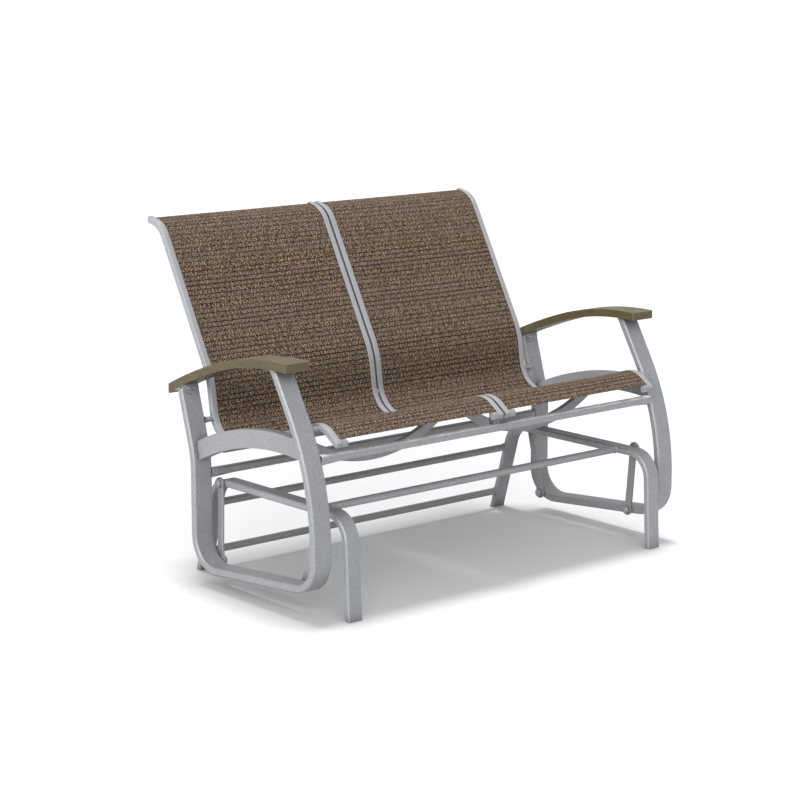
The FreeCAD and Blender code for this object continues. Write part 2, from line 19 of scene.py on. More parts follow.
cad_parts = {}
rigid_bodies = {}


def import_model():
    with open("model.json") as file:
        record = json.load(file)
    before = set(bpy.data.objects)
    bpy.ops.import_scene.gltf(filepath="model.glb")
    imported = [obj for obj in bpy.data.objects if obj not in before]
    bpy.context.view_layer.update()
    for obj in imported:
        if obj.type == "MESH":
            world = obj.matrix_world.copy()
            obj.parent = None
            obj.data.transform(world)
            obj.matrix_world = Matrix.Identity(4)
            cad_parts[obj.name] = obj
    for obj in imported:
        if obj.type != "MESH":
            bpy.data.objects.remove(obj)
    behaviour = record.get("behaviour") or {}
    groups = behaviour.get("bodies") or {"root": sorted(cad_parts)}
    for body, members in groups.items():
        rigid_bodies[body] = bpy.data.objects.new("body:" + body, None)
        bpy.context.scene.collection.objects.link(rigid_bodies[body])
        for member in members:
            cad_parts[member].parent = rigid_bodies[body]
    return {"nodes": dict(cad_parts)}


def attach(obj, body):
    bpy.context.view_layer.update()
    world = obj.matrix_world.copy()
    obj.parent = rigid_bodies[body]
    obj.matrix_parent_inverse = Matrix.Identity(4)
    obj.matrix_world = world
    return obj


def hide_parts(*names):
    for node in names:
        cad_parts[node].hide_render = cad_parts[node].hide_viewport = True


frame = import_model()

LOG = logging.getLogger("glider_bench")
Colour = tuple[float, float, float]
Triple = tuple[float, float, float]
Pair = tuple[float, float]
Span = tuple[float, ...]
SIDES: dict[str, int] = {"left": -1, "right": 1}


class Slot(Enum):
    """The record's material slots."""

    FRAME = "frame_metal"
    PIVOT = "pivot_metal"
    PAD = "arm_pads"
    CLOTH = "sling_cloth"
    PLASTIC = "plastic_caps"


class Body(Enum):
    """The bodies that a new piece may ride on."""

    BASE = "base"
    SEAT = "seat"
    LINK_FRONT_LEFT = "link_front_left"
    LINK_FRONT_RIGHT = "link_front_right"
    LINK_REAR_LEFT = "link_rear_left"
    LINK_REAR_RIGHT = "link_rear_right"


def rgba(colour: Colour) -> tuple[float, float, float, float]:
    """The colour with full alpha."""
    return (*colour, 1.0)


class Graph:
    """Adds nodes to one shader tree and joins them."""

    def __init__(self, tree: bpy.types.NodeTree) -> None:
        """Work on a tree that is already there."""
        self.tree = tree

    def add(self, kind: str, inputs: dict[Any, Any] | None = None, **settings: Any) -> bpy.types.Node:
        """Add one node.

        Args:
            kind: The node's type without its "ShaderNode" prefix.
            inputs: A value or an output socket for each named or numbered input.
            **settings: The node's own properties.

        Returns:
            The new node.
        """
        node = self.tree.nodes.new("ShaderNode" + kind)
        for name, value in settings.items():
            setattr(node, name, value)
        for key, value in (inputs or {}).items():
            self.feed(node.inputs[key], value)
        return node

    def feed(self, socket: bpy.types.NodeSocket, value: Any) -> None:
        """Give an input a value of its own, or link it to an output."""
        if isinstance(value, bpy.types.NodeSocket):
            self.tree.links.new(value, socket)
        else:
            socket.default_value = value

    def surface(self, shader: bpy.types.Node, colour: Any, roughness: Any, relief: bpy.types.Node) -> None:
        """Join what every finish gives its shader.

        Args:
            shader: The Principled shader.
            colour: The base colour's socket.
            roughness: The roughness's socket.
            relief: The Bump node that turns the normal.
        """
        self.feed(shader.inputs["Base Color"], colour)
        self.feed(shader.inputs["Roughness"], roughness)
        self.feed(shader.inputs["Normal"], relief.outputs[0])

    def math(self, operation: str, a: Any, b: Any = 0.0, clamp: bool = False) -> bpy.types.NodeSocket:
        """Join a Math node and return its result.

        Args:
            operation: The node's operation.
            a: First value or socket.
            b: Second value or socket.
            clamp: Whether the result is kept from 0 to 1.

        Returns:
            The result's socket.
        """
        inputs = {0: a} if operation in ("FLOOR", "FRACT", "ABSOLUTE", "SINE") else {0: a, 1: b}
        return self.add("Math", inputs, operation=operation, use_clamp=clamp).outputs[0]

    def times(self, a: Any, b: Any, clamp: bool = False) -> bpy.types.NodeSocket:
        """The product of two values or sockets."""
        return self.math("MULTIPLY", a, b, clamp)

    def plus(self, a: Any, b: Any, clamp: bool = False) -> bpy.types.NodeSocket:
        """The sum of two values or sockets."""
        return self.math("ADD", a, b, clamp)

    def minus(self, a: Any, b: Any) -> bpy.types.NodeSocket:
        """The first value or socket less the second."""
        return self.math("SUBTRACT", a, b)

    def mix(self, factor: Any, a: Any, b: Any, blend: str = "MIX") -> bpy.types.NodeSocket:
        """Mix two colours.

        Args:
            factor: Share of the second colour.
            a: First colour or socket.
            b: Second colour or socket.
            blend: The blend type.

        Returns:
            The mixed colour's socket.
        """
        return self.add("Mix", {0: factor, 6: a, 7: b}, data_type="RGBA", blend_type=blend).outputs[2]

    def stretch(self, value: Any, low: float, high: float, to_low: float = 0.0,
                to_high: float = 1.0) -> bpy.types.NodeSocket:
        """Map a span of values smoothly onto another.

        Args:
            value: The value's socket.
            low: Where the span starts.
            high: Where the span ends.
            to_low: Result at the start.
            to_high: Result at the end.

        Returns:
            The result's socket.
        """
        return self.add("MapRange", {0: value, 1: low, 2: high, 3: to_low, 4: to_high},
                        interpolation_type="SMOOTHSTEP").outputs[0]

    def noise(self, vector: Any, scale: Any, detail: float = 2.0, rough: float = 0.5,
              **settings: Any) -> bpy.types.NodeSocket:
        """Noise from 0 to 1 at a scale in cycles per metre.

        Args:
            vector: Where the noise is read.
            scale: Cycles for each unit of the vector.
            detail: Octaves added to it.
            rough: How strong the octaves are.
            **settings: The node's own properties.

        Returns:
            The noise value's socket.
        """
        inputs = {"Vector": vector, "Scale": scale, "Detail": detail, "Roughness": rough}
        return self.add("TexNoise", inputs, **settings).outputs[0]

    def place(self) -> bpy.types.NodeSocket:
        """The object's own coordinates, in metres."""
        return self.add("TexCoord").outputs["Object"]

    def scaled(self, vector: Any, scale: Triple) -> bpy.types.NodeSocket:
        """Coordinates stretched by a factor along each axis."""
        return self.add("Mapping", {0: vector, "Scale": scale}).outputs[0]

    def bump(self, strength: float, distance: float, height: Any) -> bpy.types.Node:
        """A Bump node whose relief is a distance in metres deep."""
        return self.add("Bump", {"Strength": strength, "Distance": distance, "Height": height})

    def steps(self, value: Any, stops: list[tuple[float, Colour]]) -> bpy.types.NodeSocket:
        """A colour ramp of even bands.

        Args:
            value: The socket that picks the colour.
            stops: Where each band starts, and its colour.

        Returns:
            The colour's socket.
        """
        node = self.add("ValToRGB", {0: value})
        ramp = node.color_ramp
        ramp.interpolation = "CONSTANT"
        while len(ramp.elements) < len(stops):
            ramp.elements.new(0.5)
        for element, (position, colour) in zip(ramp.elements, stops):
            element.position = position
            element.color = rgba(colour)
        return node.outputs[0]


class Effect:
    """A shader group with named inputs and outputs, built once and placed in many materials."""

    name = "effect"
    inputs: dict[str, tuple[str, Any]] = {}
    outputs: dict[str, str] = {}
    _tree: bpy.types.NodeTree | None = None

    @classmethod
    def tree(cls) -> bpy.types.NodeTree:
        """The group's tree, made on first use."""
        if cls._tree is None:
            tree = bpy.data.node_groups.new(cls.name, "ShaderNodeTree")
            for name, (kind, value) in cls.inputs.items():
                socket = tree.interface.new_socket(name, in_out="INPUT", socket_type="NodeSocket" + kind)
                if value is not None:
                    socket.default_value = value
            for name, kind in cls.outputs.items():
                tree.interface.new_socket(name, in_out="OUTPUT", socket_type="NodeSocket" + kind)
            source = tree.nodes.new("NodeGroupInput")
            sink = tree.nodes.new("NodeGroupOutput")
            made = cls.build(Graph(tree), source.outputs)
            for name, socket in made.items():
                tree.links.new(socket, sink.inputs[name])
            cls._tree = tree
        return cls._tree

    @classmethod
    def build(cls, graph: Graph, given: Any) -> dict[str, bpy.types.NodeSocket]:
        """Join the group's nodes and return a socket for each output."""
        raise NotImplementedError

    @classmethod
    def place(cls, graph: Graph, **inputs: Any) -> bpy.types.Node:
        """Put the group in a material.

        Args:
            graph: The material's graph.
            **inputs: A value or socket for each named input.

        Returns:
            The group's node.
        """
        node = graph.tree.nodes.new("ShaderNodeGroup")
        node.node_tree = cls.tree()
        for name, value in inputs.items():
            graph.feed(node.inputs[name], value)
        return node


class EdgeWearAndHighlight(Effect):
    """Lightens the rubbed corners of a piece, broken up by noise; where a finish gives it a bright colour
    and a full amount, it paints a highlight along the edges.
    """

    name = "edge_wear_and_highlight"
    inputs = {"Color": ("Color", None), "WornAndLit": ("Color", None), "Amount": ("Float", 0.5),
              "Width": ("Float", 0.002)}
    outputs = {"Color": "Color", "Mask": "Float"}
    samples = 4
    corner: Span = (0.01, 0.16)
    chip_scale = 130.0
    chipped: Span = (0.42, 0.62)

    @classmethod
    def build(cls, graph: Graph, given: Any) -> dict[str, bpy.types.NodeSocket]:
        """Compare the rounded normal with the true one and break the difference up."""
        rounded = graph.add("Bevel", {"Radius": given["Width"]}, samples=cls.samples).outputs[0]
        plain = graph.add("NewGeometry").outputs["Normal"]
        dot = graph.add("VectorMath", {0: rounded, 1: plain}, operation="DOT_PRODUCT").outputs["Value"]
        turned = graph.stretch(graph.minus(1.0, dot), *cls.corner)
        broken = graph.stretch(graph.noise(graph.place(), cls.chip_scale, 4.0, 0.65), *cls.chipped)
        mask = graph.times(graph.times(turned, broken), given["Amount"], True)
        return {"Color": graph.mix(mask, given["Color"], given["WornAndLit"]), "Mask": mask}


class DustAndTopLight(Effect):
    """Pale dust in patches on faces that look up; where a finish gives it a bright colour and a large
    amount, it paints a highlight on the tops.
    """

    name = "dust_and_painted_top_light"
    inputs = {"Color": ("Color", None), "DustAndTopLight": ("Color", None), "Amount": ("Float", 0.2)}
    outputs = {"Color": "Color", "Mask": "Float"}
    facing_up: Span = (0.2, 1.0)
    patch_scale = 22.0
    patchy: Span = (0.35, 0.7, 0.45, 1.0)

    @classmethod
    def build(cls, graph: Graph, given: Any) -> dict[str, bpy.types.NodeSocket]:
        """Take the upward share of the normal and mottle it."""
        normal = graph.add("NewGeometry").outputs["Normal"]
        up = graph.add("SeparateXYZ", {0: normal}).outputs["Z"]
        lying = graph.stretch(up, *cls.facing_up)
        patches = graph.stretch(graph.noise(graph.place(), cls.patch_scale, 4.0, 0.6), *cls.patchy)
        mask = graph.times(graph.times(lying, patches), given["Amount"], True)
        return {"Color": graph.mix(mask, given["Color"], given["DustAndTopLight"]), "Mask": mask}


class CreviceShade(Effect):
    """Paints shade into places that neighbouring pieces close in, darker as more of the surroundings is
    blocked; it stands for the shade there and a little grime.
    """

    name = "painted_crevice_shade"
    inputs = {"Color": ("Color", None), "Deep": ("Color", None), "Reach": ("Float", 0.05),
              "Amount": ("Float", 0.6)}
    outputs = {"Color": "Color", "Mask": "Float"}
    samples = 8
    open_to_shut: Span = (0.85, 0.15)

    @classmethod
    def build(cls, graph: Graph, given: Any) -> dict[str, bpy.types.NodeSocket]:
        """Turn the share of the surroundings that is blocked into a mask."""
        seen = graph.add("AmbientOcclusion", {"Distance": given["Reach"]}, samples=cls.samples)
        shut = graph.stretch(seen.outputs["AO"], *cls.open_to_shut)
        mask = graph.times(shut, given["Amount"], True)
        return {"Color": graph.mix(mask, given["Color"], given["Deep"]), "Mask": mask}


class CoatGrain(Effect):
    """Fine metallic grain of a silver powder coat: mottling, bright flakes and dark specks."""

    name = "powder_coat_grain"
    inputs = {"Base": ("Color", None), "Flake": ("Color", None), "Speck": ("Color", None),
              "Grain": ("Float", 700.0)}
    outputs = {"Color": "Color", "Roughness": "Float", "Height": "Float"}
    mottle_scale = 9.0
    middle: Span = (0.3, 0.7)
    peel_shade: Span = (0.95, 1.05)
    mottle_shade: Span = (0.97, 1.03)
    dullness: Span = (0.40, 0.56)
    flakes_above, flake_share, flake_gloss = 0.80, 0.24, 0.12
    specks_below, speck_share = 0.16, 0.18

    @classmethod
    def build(cls, graph: Graph, given: Any) -> dict[str, bpy.types.NodeSocket]:
        """Layer broad mottling, orange peel and random flakes."""
        place = graph.place()
        broad = graph.noise(place, cls.mottle_scale, 3.0)
        peel = graph.noise(place, given["Grain"])
        cells = graph.add("TexVoronoi", {"Vector": place, "Scale": given["Grain"]})
        pick = graph.add("SeparateXYZ", {0: cells.outputs["Color"]}).outputs["X"]
        flake = graph.math("GREATER_THAN", pick, cls.flakes_above)
        speck = graph.math("LESS_THAN", pick, cls.specks_below)
        tone = graph.times(graph.stretch(peel, *cls.middle, *cls.peel_shade),
                           graph.stretch(broad, *cls.middle, *cls.mottle_shade))
        base = graph.mix(1.0, given["Base"], tone, "MULTIPLY")
        lit = graph.mix(graph.times(flake, cls.flake_share), base, given["Flake"])
        colour = graph.mix(graph.times(speck, cls.speck_share), lit, given["Speck"])
        rough = graph.minus(graph.stretch(peel, *cls.middle, *cls.dullness),
                            graph.times(flake, cls.flake_gloss))
        return {"Color": colour, "Roughness": rough, "Height": peel}


class Weave(Effect):
    """Plain weave of coated yarns in stripes, read from a UV map in metres.

    Wefts run across the seat (U) and warps along it (V). The yarns take their colours in groups of
    two by two, and a light group has a darker one beside it. A stripe is ten wefts wide and starts
    with a dark line that comes and goes; in every third stripe that line is a row of knots.
    """

    name = "sling_weave"
    inputs = {"Across": ("Float", 0.00165), "Along": ("Float", 0.001256), "Stripe": ("Float", 10.0),
              "Knots": ("Float", 17.0)}
    outputs = {"Height": "Float", "Cell": "Float", "Yarn": "Float", "Tone": "Float",
               "Streak": "Float", "Dark": "Float"}
    slub_lengths, slub_rows = 15.0, 0.66
    line_edge: Span = (0.20, 0.06)
    fading: Span = (0.36, 0.52, 0.72, 1.0)
    strength: Span = (0.0, 0.8, 0.40, 1.12)
    knot_length = 0.34
    knot_strength: Span = (0.45, 1.25)
    stripes_in_round, knotted = 3.0, 0.2
    tone_row, strength_row = 3.0, 5.0
    round_top = 0.6
    dip: Span = (0.45, 1.0)

    @classmethod
    def build(cls, graph: Graph, given: Any) -> dict[str, bpy.types.NodeSocket]:
        """Number the yarns, raise the one on top of each crossing and lay out the stripes."""
        uv = graph.add("SeparateXYZ", {0: graph.add("UVMap", uv_map="cloth").outputs[0]})
        u = graph.math("DIVIDE", uv.outputs["X"], given["Across"])
        v = graph.math("DIVIDE", uv.outputs["Y"], given["Along"])
        column, row = graph.math("FLOOR", u), graph.math("FLOOR", v)
        pair = graph.math("FLOOR", graph.times(v, 0.5))
        group = graph.math("FLOOR", graph.times(u, 0.5))
        beside = cls.random(graph, graph.minus(group, 1.0), pair)
        contrast = graph.minus(cls.random(graph, group, pair), beside)
        shift = graph.math("FRACT", graph.times(pair, 0.5))
        block = graph.math("FLOOR", graph.plus(graph.times(u, 0.5), shift))
        stripes = graph.math("DIVIDE", row, given["Stripe"])
        stripe = graph.math("FLOOR", stripes)
        lane = graph.add("CombineXYZ", {0: graph.times(uv.outputs["X"], cls.slub_lengths),
                                        1: graph.times(row, cls.slub_rows)}).outputs[0]
        streak = graph.noise(lane, 1.0, 2.0, 0.6, noise_dimensions="2D")
        tone = cls.random(graph, stripe, cls.tone_row)
        return {"Height": cls.relief(graph, u, v, column, row), "Cell": cls.random(graph, block, pair),
                "Yarn": graph.plus(graph.times(contrast, 0.5), 0.5), "Tone": tone, "Streak": streak,
                "Dark": cls.lines(graph, stripes, stripe, streak,
                                  graph.plus(graph.math("DIVIDE", u, given["Knots"]), tone))}

    @classmethod
    def lines(cls, graph: Graph, stripes: Any, stripe: Any, streak: Any,
              along: Any) -> bpy.types.NodeSocket:
        """The dark line between stripes, a row of knots in every third one.

        Args:
            graph: The group's graph.
            stripes: Place along the cloth, counted in stripes.
            stripe: The stripe's number.
            streak: The slubs' noise, which fades the line.
            along: Place across the cloth, counted in knots.

        Returns:
            The line's strength, from 0 to 1.
        """
        place = graph.math("FRACT", graph.plus(stripes, 0.5))
        from_line = graph.math("ABSOLUTE", graph.minus(place, 0.5))
        first = graph.stretch(from_line, *cls.line_edge)
        in_round = graph.math("FRACT", graph.math("DIVIDE", stripe, cls.stripes_in_round))
        dotted = graph.math("LESS_THAN", in_round, cls.knotted)
        knots = graph.math("LESS_THAN", graph.math("FRACT", along), cls.knot_length)
        strength = graph.stretch(cls.random(graph, stripe, cls.strength_row), *cls.strength)
        plain = graph.times(graph.minus(1.0, dotted),
                            graph.times(graph.stretch(streak, *cls.fading), strength))
        spots = graph.stretch(knots, 0.0, 1.0, *cls.knot_strength)
        either = graph.plus(plain, graph.times(dotted, spots))
        return graph.times(first, either, True)

    @staticmethod
    def random(graph: Graph, x: Any, y: Any) -> bpy.types.NodeSocket:
        """A random number for each pair of whole numbers."""
        pair = graph.add("CombineXYZ", {0: x, 1: y}).outputs[0]
        return graph.add("TexWhiteNoise", {"Vector": pair}, noise_dimensions="2D").outputs["Value"]

    @classmethod
    def relief(cls, graph: Graph, u: Any, v: Any, column: Any, row: Any) -> bpy.types.NodeSocket:
        """Height of the yarn that is on top at each place.

        Args:
            graph: The group's graph.
            u: Place across, counted in warps.
            v: Place along, counted in wefts.
            column: The warp's number.
            row: The weft's number.

        Returns:
            The height's socket, from 0 in the gaps to 1.
        """
        hu = graph.math("SINE", graph.times(graph.math("FRACT", u), math.pi))
        hv = graph.math("SINE", graph.times(graph.math("FRACT", v), math.pi))
        both = graph.times(graph.plus(column, row), 0.5)
        over = graph.math("GREATER_THAN", graph.math("FRACT", both), 0.25)
        under = graph.minus(1.0, over)
        return graph.plus(graph.times(over, cls.yarn(graph, hv, hu)),
                          graph.times(under, cls.yarn(graph, hu, hv)))

    @classmethod
    def yarn(cls, graph: Graph, across: Any, along: Any) -> bpy.types.NodeSocket:
        """Height of one yarn, round across it and dipping along it at its ends."""
        return graph.times(graph.math("POWER", across, cls.round_top),
                           graph.stretch(along, 0.0, 1.0, *cls.dip))


class Finish:
    """Base of the finishes: makes its material once and hands it out."""

    name: str

    def build(self, graph: Graph, shader: bpy.types.Node) -> None:
        """Join the finish's nodes to a Principled shader."""
        raise NotImplementedError

    def material(self) -> bpy.types.Material:
        """The finish's material, made on first use."""
        if self.name in bpy.data.materials:
            return bpy.data.materials[self.name]
        made = bpy.data.materials.new(self.name)
        made.use_nodes = True
        made.node_tree.nodes.clear()
        graph = Graph(made.node_tree)
        shader = graph.add("BsdfPrincipled")
        graph.add("OutputMaterial", {"Surface": shader.outputs[0]})
        self.build(graph, shader)
        return made


@dataclass(frozen=True)
class PowderCoat(Finish):
    """Silver powder coat with a sparkle, rubbed a little at the corners, with painted shade in its
    crevices; some variants also paint highlights on edges and tops.
    """

    name: str = "silver_powder_coat"
    base: Colour = (0.236, 0.241, 0.255)
    flake: Colour = (0.46, 0.47, 0.49)
    speck: Colour = (0.09, 0.092, 0.10)
    # The edge colour and the top colour below are wear and dust; set bright, they are painted highlights
    # on edges and tops.
    worn_and_lit: Colour = (0.36, 0.37, 0.39)
    dust_and_top_light: Colour = (0.40, 0.39, 0.375)
    grain: float = 620.0
    # The deep colour, reach and shade below set the painted shade in crevices: its colour, how far
    # blocking is sought, and its strength.
    deep: Colour = (0.045, 0.046, 0.050)
    metallic: float = 0.25
    rounding: float = 0.0
    reach: float = 0.06
    shade: float = 0.80
    dust_and_top_light_amount: float = 0.08
    wear_and_highlight_amount: float = 0.55
    rub_width: float = 0.0022
    dust_dulls: float = 0.8
    relief: Pair = (0.22, 0.0004)
    rounding_samples: int = 6

    def build(self, graph: Graph, shader: bpy.types.Node) -> None:
        """Grain, then rubbed corners, a little dust on top, and painted shade in crevices; where a variant
        makes the edge and top colours bright, they are painted highlights.
        """
        coat = CoatGrain.place(graph, Base=rgba(self.base), Flake=rgba(self.flake),
                               Speck=rgba(self.speck), Grain=self.grain)
        # edge layer: rubbed wear, and a painted highlight along the edges where the edge colour is bright
        worn_and_lit = EdgeWearAndHighlight.place(graph, Color=coat.outputs["Color"], WornAndLit=rgba(self.worn_and_lit),
                              Amount=self.wear_and_highlight_amount, Width=self.rub_width)
        # top layer: dust, and a painted highlight on the tops where the top colour is bright
        dust_and_top_lit = DustAndTopLight.place(graph, Color=worn_and_lit.outputs["Color"], DustAndTopLight=rgba(self.dust_and_top_light),
                           Amount=self.dust_and_top_light_amount)
        # painted shade: closed-in places darken towards the deep colour
        shut = CreviceShade.place(graph, Color=dust_and_top_lit.outputs["Color"], Deep=rgba(self.deep), Reach=self.reach,
                             Amount=self.shade)
        rough = graph.plus(coat.outputs["Roughness"],
                           graph.times(dust_and_top_lit.outputs["Mask"], self.dust_dulls), True)
        bump = graph.bump(*self.relief, coat.outputs["Height"])
        if self.rounding > 0.0:
            soft = graph.add("Bevel", {"Radius": self.rounding}, samples=self.rounding_samples)
            graph.feed(bump.inputs["Normal"], soft.outputs[0])
        graph.surface(shader, shut.outputs["Color"], rough, bump)
        shader.inputs["Metallic"].default_value = self.metallic


@dataclass(frozen=True)
class TurnedSteel(Finish):
    """Plated steel of the pin heads and caps, with fine turning marks."""

    name: str = "plated_steel"
    base: Colour = (0.345, 0.35, 0.362)
    dull: Colour = (0.235, 0.24, 0.25)
    worn_and_lit: Colour = (0.5, 0.5, 0.51)
    cloud_scale: float = 160.0
    line_scale: float = 260.0
    line_length: Triple = (1.0, 14.0, 14.0)
    roughness: Pair = (0.38, 0.54)
    metallic: float = 0.55

    def build(self, graph: Graph, shader: bpy.types.Node) -> None:
        """Cloudy plating over fine scratches."""
        place = graph.place()
        cloud = graph.stretch(graph.noise(place, self.cloud_scale, 4.0), 0.35, 0.7)
        lines = graph.noise(graph.scaled(place, self.line_length), self.line_scale, 3.0)
        colour = graph.mix(graph.times(cloud, 0.5), rgba(self.base), rgba(self.dull))
        worn_and_lit = EdgeWearAndHighlight.place(graph, Color=colour, WornAndLit=rgba(self.worn_and_lit), Amount=0.5, Width=0.0008)
        graph.surface(shader, worn_and_lit.outputs["Color"], graph.stretch(cloud, 0.0, 1.0, *self.roughness),
                      graph.bump(0.15, 0.0002, lines))
        shader.inputs["Metallic"].default_value = self.metallic


@dataclass(frozen=True)
class PadResin(Finish):
    """Olive moulded resin of the arm pads, with a brushed grain that runs front to back."""

    name: str = "olive_resin"
    light: Colour = (0.086, 0.067, 0.031)
    dark: Colour = (0.055, 0.041, 0.017)
    worn_and_lit: Colour = (0.125, 0.106, 0.058)
    dust_and_top_light: Colour = (0.33, 0.305, 0.23)
    streak_length: Triple = (22.0, 1.3, 22.0)
    streak_scale: float = 11.0
    hair_length: Triple = (30.0, 2.0, 30.0)
    hair_scale: float = 42.0
    pore_scale: float = 900.0
    roughness: Pair = (0.62, 0.50)

    def build(self, graph: Graph, shader: bpy.types.Node) -> None:
        """Long streaks, fine hairs and pores, and softly rubbed edges."""
        place = graph.place()
        streak = graph.noise(graph.scaled(place, self.streak_length), self.streak_scale, 5.0, 0.62)
        fine = graph.noise(graph.scaled(place, self.hair_length), self.hair_scale, 3.0, 0.6)
        pores = graph.noise(place, self.pore_scale)
        blend = graph.plus(graph.times(streak, 0.62), graph.times(fine, 0.38))
        colour = graph.mix(graph.stretch(blend, 0.36, 0.64), rgba(self.dark), rgba(self.light))
        speckled = graph.mix(graph.times(graph.stretch(pores, 0.55, 0.75), 0.35), colour,
                             rgba(self.dark))
        worn_and_lit = EdgeWearAndHighlight.place(graph, Color=speckled, WornAndLit=rgba(self.worn_and_lit), Amount=0.55, Width=0.003)
        # dust on top, and painted light: it also makes the top lighter than the sides
        dust_and_top_lit = DustAndTopLight.place(graph, Color=worn_and_lit.outputs["Color"], DustAndTopLight=rgba(self.dust_and_top_light), Amount=0.20)
        relief = graph.plus(fine, graph.times(pores, 0.6))
        graph.surface(shader, dust_and_top_lit.outputs["Color"], graph.stretch(blend, 0.3, 0.7, *self.roughness),
                      graph.bump(0.30, 0.0005, relief))


@dataclass(frozen=True)
class MouldedPlastic(Finish):
    """Moulded plastic with a spark-eroded grain."""

    name: str
    base: Colour
    pale: Colour
    rough: float = 0.5
    dust_and_top_light: Colour = (0.5, 0.48, 0.44)
    cloud_scale: float = 45.0
    grain_scale: float = 1400.0

    def build(self, graph: Graph, shader: bpy.types.Node) -> None:
        """Even colour, slight clouding, fine grain and scuffed corners."""
        place = graph.place()
        cloud = graph.stretch(graph.noise(place, self.cloud_scale, 3.0), 0.35, 0.65)
        grain = graph.noise(place, self.grain_scale)
        colour = graph.mix(graph.times(cloud, 0.35), rgba(self.base), rgba(self.pale))
        worn_and_lit = EdgeWearAndHighlight.place(graph, Color=colour, WornAndLit=rgba(self.pale), Amount=0.7, Width=0.001)
        dust_and_top_lit = DustAndTopLight.place(graph, Color=worn_and_lit.outputs["Color"], DustAndTopLight=rgba(self.dust_and_top_light), Amount=0.12)
        rough = graph.stretch(grain, 0.3, 0.7, self.rough - 0.06, self.rough + 0.08)
        graph.surface(shader, dust_and_top_lit.outputs["Color"], rough, graph.bump(0.25, 0.0002, grain))


@dataclass(frozen=True)
class SlingCloth(Finish):
    """Brown tweed sling cloth woven of coated yarns, striped with dark wefts."""

    name: str = "tweed_sling"
    brown: Colour = (0.106, 0.063, 0.037)
    deep: Colour = (0.034, 0.020, 0.013)
    tan: Colour = (0.400, 0.270, 0.163)
    grey: Colour = (0.128, 0.112, 0.098)
    black: Colour = (0.008, 0.006, 0.005)
    bands: Span = (0.0, 0.13, 0.43, 0.639)
    stripe_grey: float = 0.32
    slub_dark: float = 0.30
    line_dark: float = 0.94
    gap_dark: float = 0.72
    roughness: Pair = (0.86, 0.58)
    specular: float = 0.15

    def build(self, graph: Graph, shader: bpy.types.Node) -> None:
        """Pick a yarn colour for each group, then darken the stripes and the slubs, and paint shade into
        the gaps between the yarns.
        """
        weave = Weave.place(graph).outputs
        shades = (self.black, self.deep, self.brown, self.tan)
        yarns = graph.steps(weave["Yarn"], list(zip(self.bands, shades)))
        greyed = graph.mix(graph.stretch(weave["Cell"], 0.70, 0.76, 0.0, 0.55), yarns, rgba(self.grey))
        striped = graph.mix(graph.times(weave["Tone"], self.stripe_grey), greyed, rgba(self.grey))
        slub = graph.stretch(weave["Streak"], 0.58, 0.70)
        slubbed = graph.mix(graph.times(slub, self.slub_dark), striped, rgba(self.deep))
        lined = graph.mix(graph.times(weave["Dark"], self.line_dark), slubbed, rgba(self.black))
        # painted shade: the gaps between the yarns darken towards black
        gap = graph.stretch(weave["Height"], 0.45, 0.10)
        colour = graph.mix(graph.times(gap, self.gap_dark), lined, rgba(self.black))
        graph.surface(shader, colour, graph.stretch(weave["Height"], 0.0, 1.0, *self.roughness),
                      graph.bump(0.55, 0.0005, weave["Height"]))
        shader.inputs["Specular IOR Level"].default_value = self.specular


@dataclass(frozen=True)
class SewingThread(Finish):
    """Twisted brown thread of the hems."""

    name: str = "brown_thread"
    base: Colour = (0.105, 0.072, 0.048)
    dark: Colour = (0.040, 0.027, 0.018)
    lean: float = 0.6
    twist_scale: float = 450.0
    roughness: Pair = (0.80, 0.62)

    def build(self, graph: Graph, shader: bpy.types.Node) -> None:
        """Fine twist across each stitch."""
        leaning = graph.add("Mapping", {0: graph.place(), "Rotation": (0.0, 0.0, self.lean)}).outputs[0]
        twist = graph.add("TexWave", {"Vector": leaning, "Scale": self.twist_scale,
                                      "Distortion": 1.5}).outputs["Fac"]
        colour = graph.mix(graph.stretch(twist, 0.2, 0.8), rgba(self.dark), rgba(self.base))
        graph.surface(shader, colour, graph.stretch(twist, 0.0, 1.0, *self.roughness),
                      graph.bump(0.3, 0.0002, twist))


@dataclass(frozen=True)
class PaleFloor(Finish):
    """Plain pale studio floor."""

    name: str = "pale_floor"
    colour: Colour = (0.82, 0.82, 0.82)

    def build(self, graph: Graph, shader: bpy.types.Node) -> None:
        """Nearly even colour, matt."""
        cloud = graph.stretch(graph.noise(graph.place(), 1.5), 0.3, 0.7, 0.99, 1.0)
        graph.feed(shader.inputs["Base Color"], graph.mix(1.0, rgba(self.colour), cloud, "MULTIPLY"))
        shader.inputs["Roughness"].default_value = 0.9
        shader.inputs["Specular IOR Level"].default_value = 0.1


COAT = PowderCoat()
# the rails' strong crevice setting paints shade into the narrow gap between neighbouring rails
RAIL_COAT = PowderCoat("silver_rail_coat", base=(0.295, 0.301, 0.318), rounding=0.0028, reach=0.030,
                       shade=0.95)
# the bow's lighter base and bright top layer are a painted highlight on its tops
BOW_COAT_PAINTED_HIGHLIGHT = PowderCoat("silver_bow_coat_painted_highlight", base=(0.255, 0.261, 0.277), dust_and_top_light=(0.72, 0.73, 0.75),
                      rounding=0.0030, shade=0.10, dust_and_top_light_amount=0.85)
# the front rail's bright edge and top layers are a painted highlight along its top edge and top
FRONT_RAIL_COAT_PAINTED_HIGHLIGHT = PowderCoat("silver_front_rail_coat_painted_highlight", worn_and_lit=(0.80, 0.81, 0.83), dust_and_top_light=(0.85, 0.86, 0.88),
                             shade=0.10, dust_and_top_light_amount=0.90, wear_and_highlight_amount=1.0)
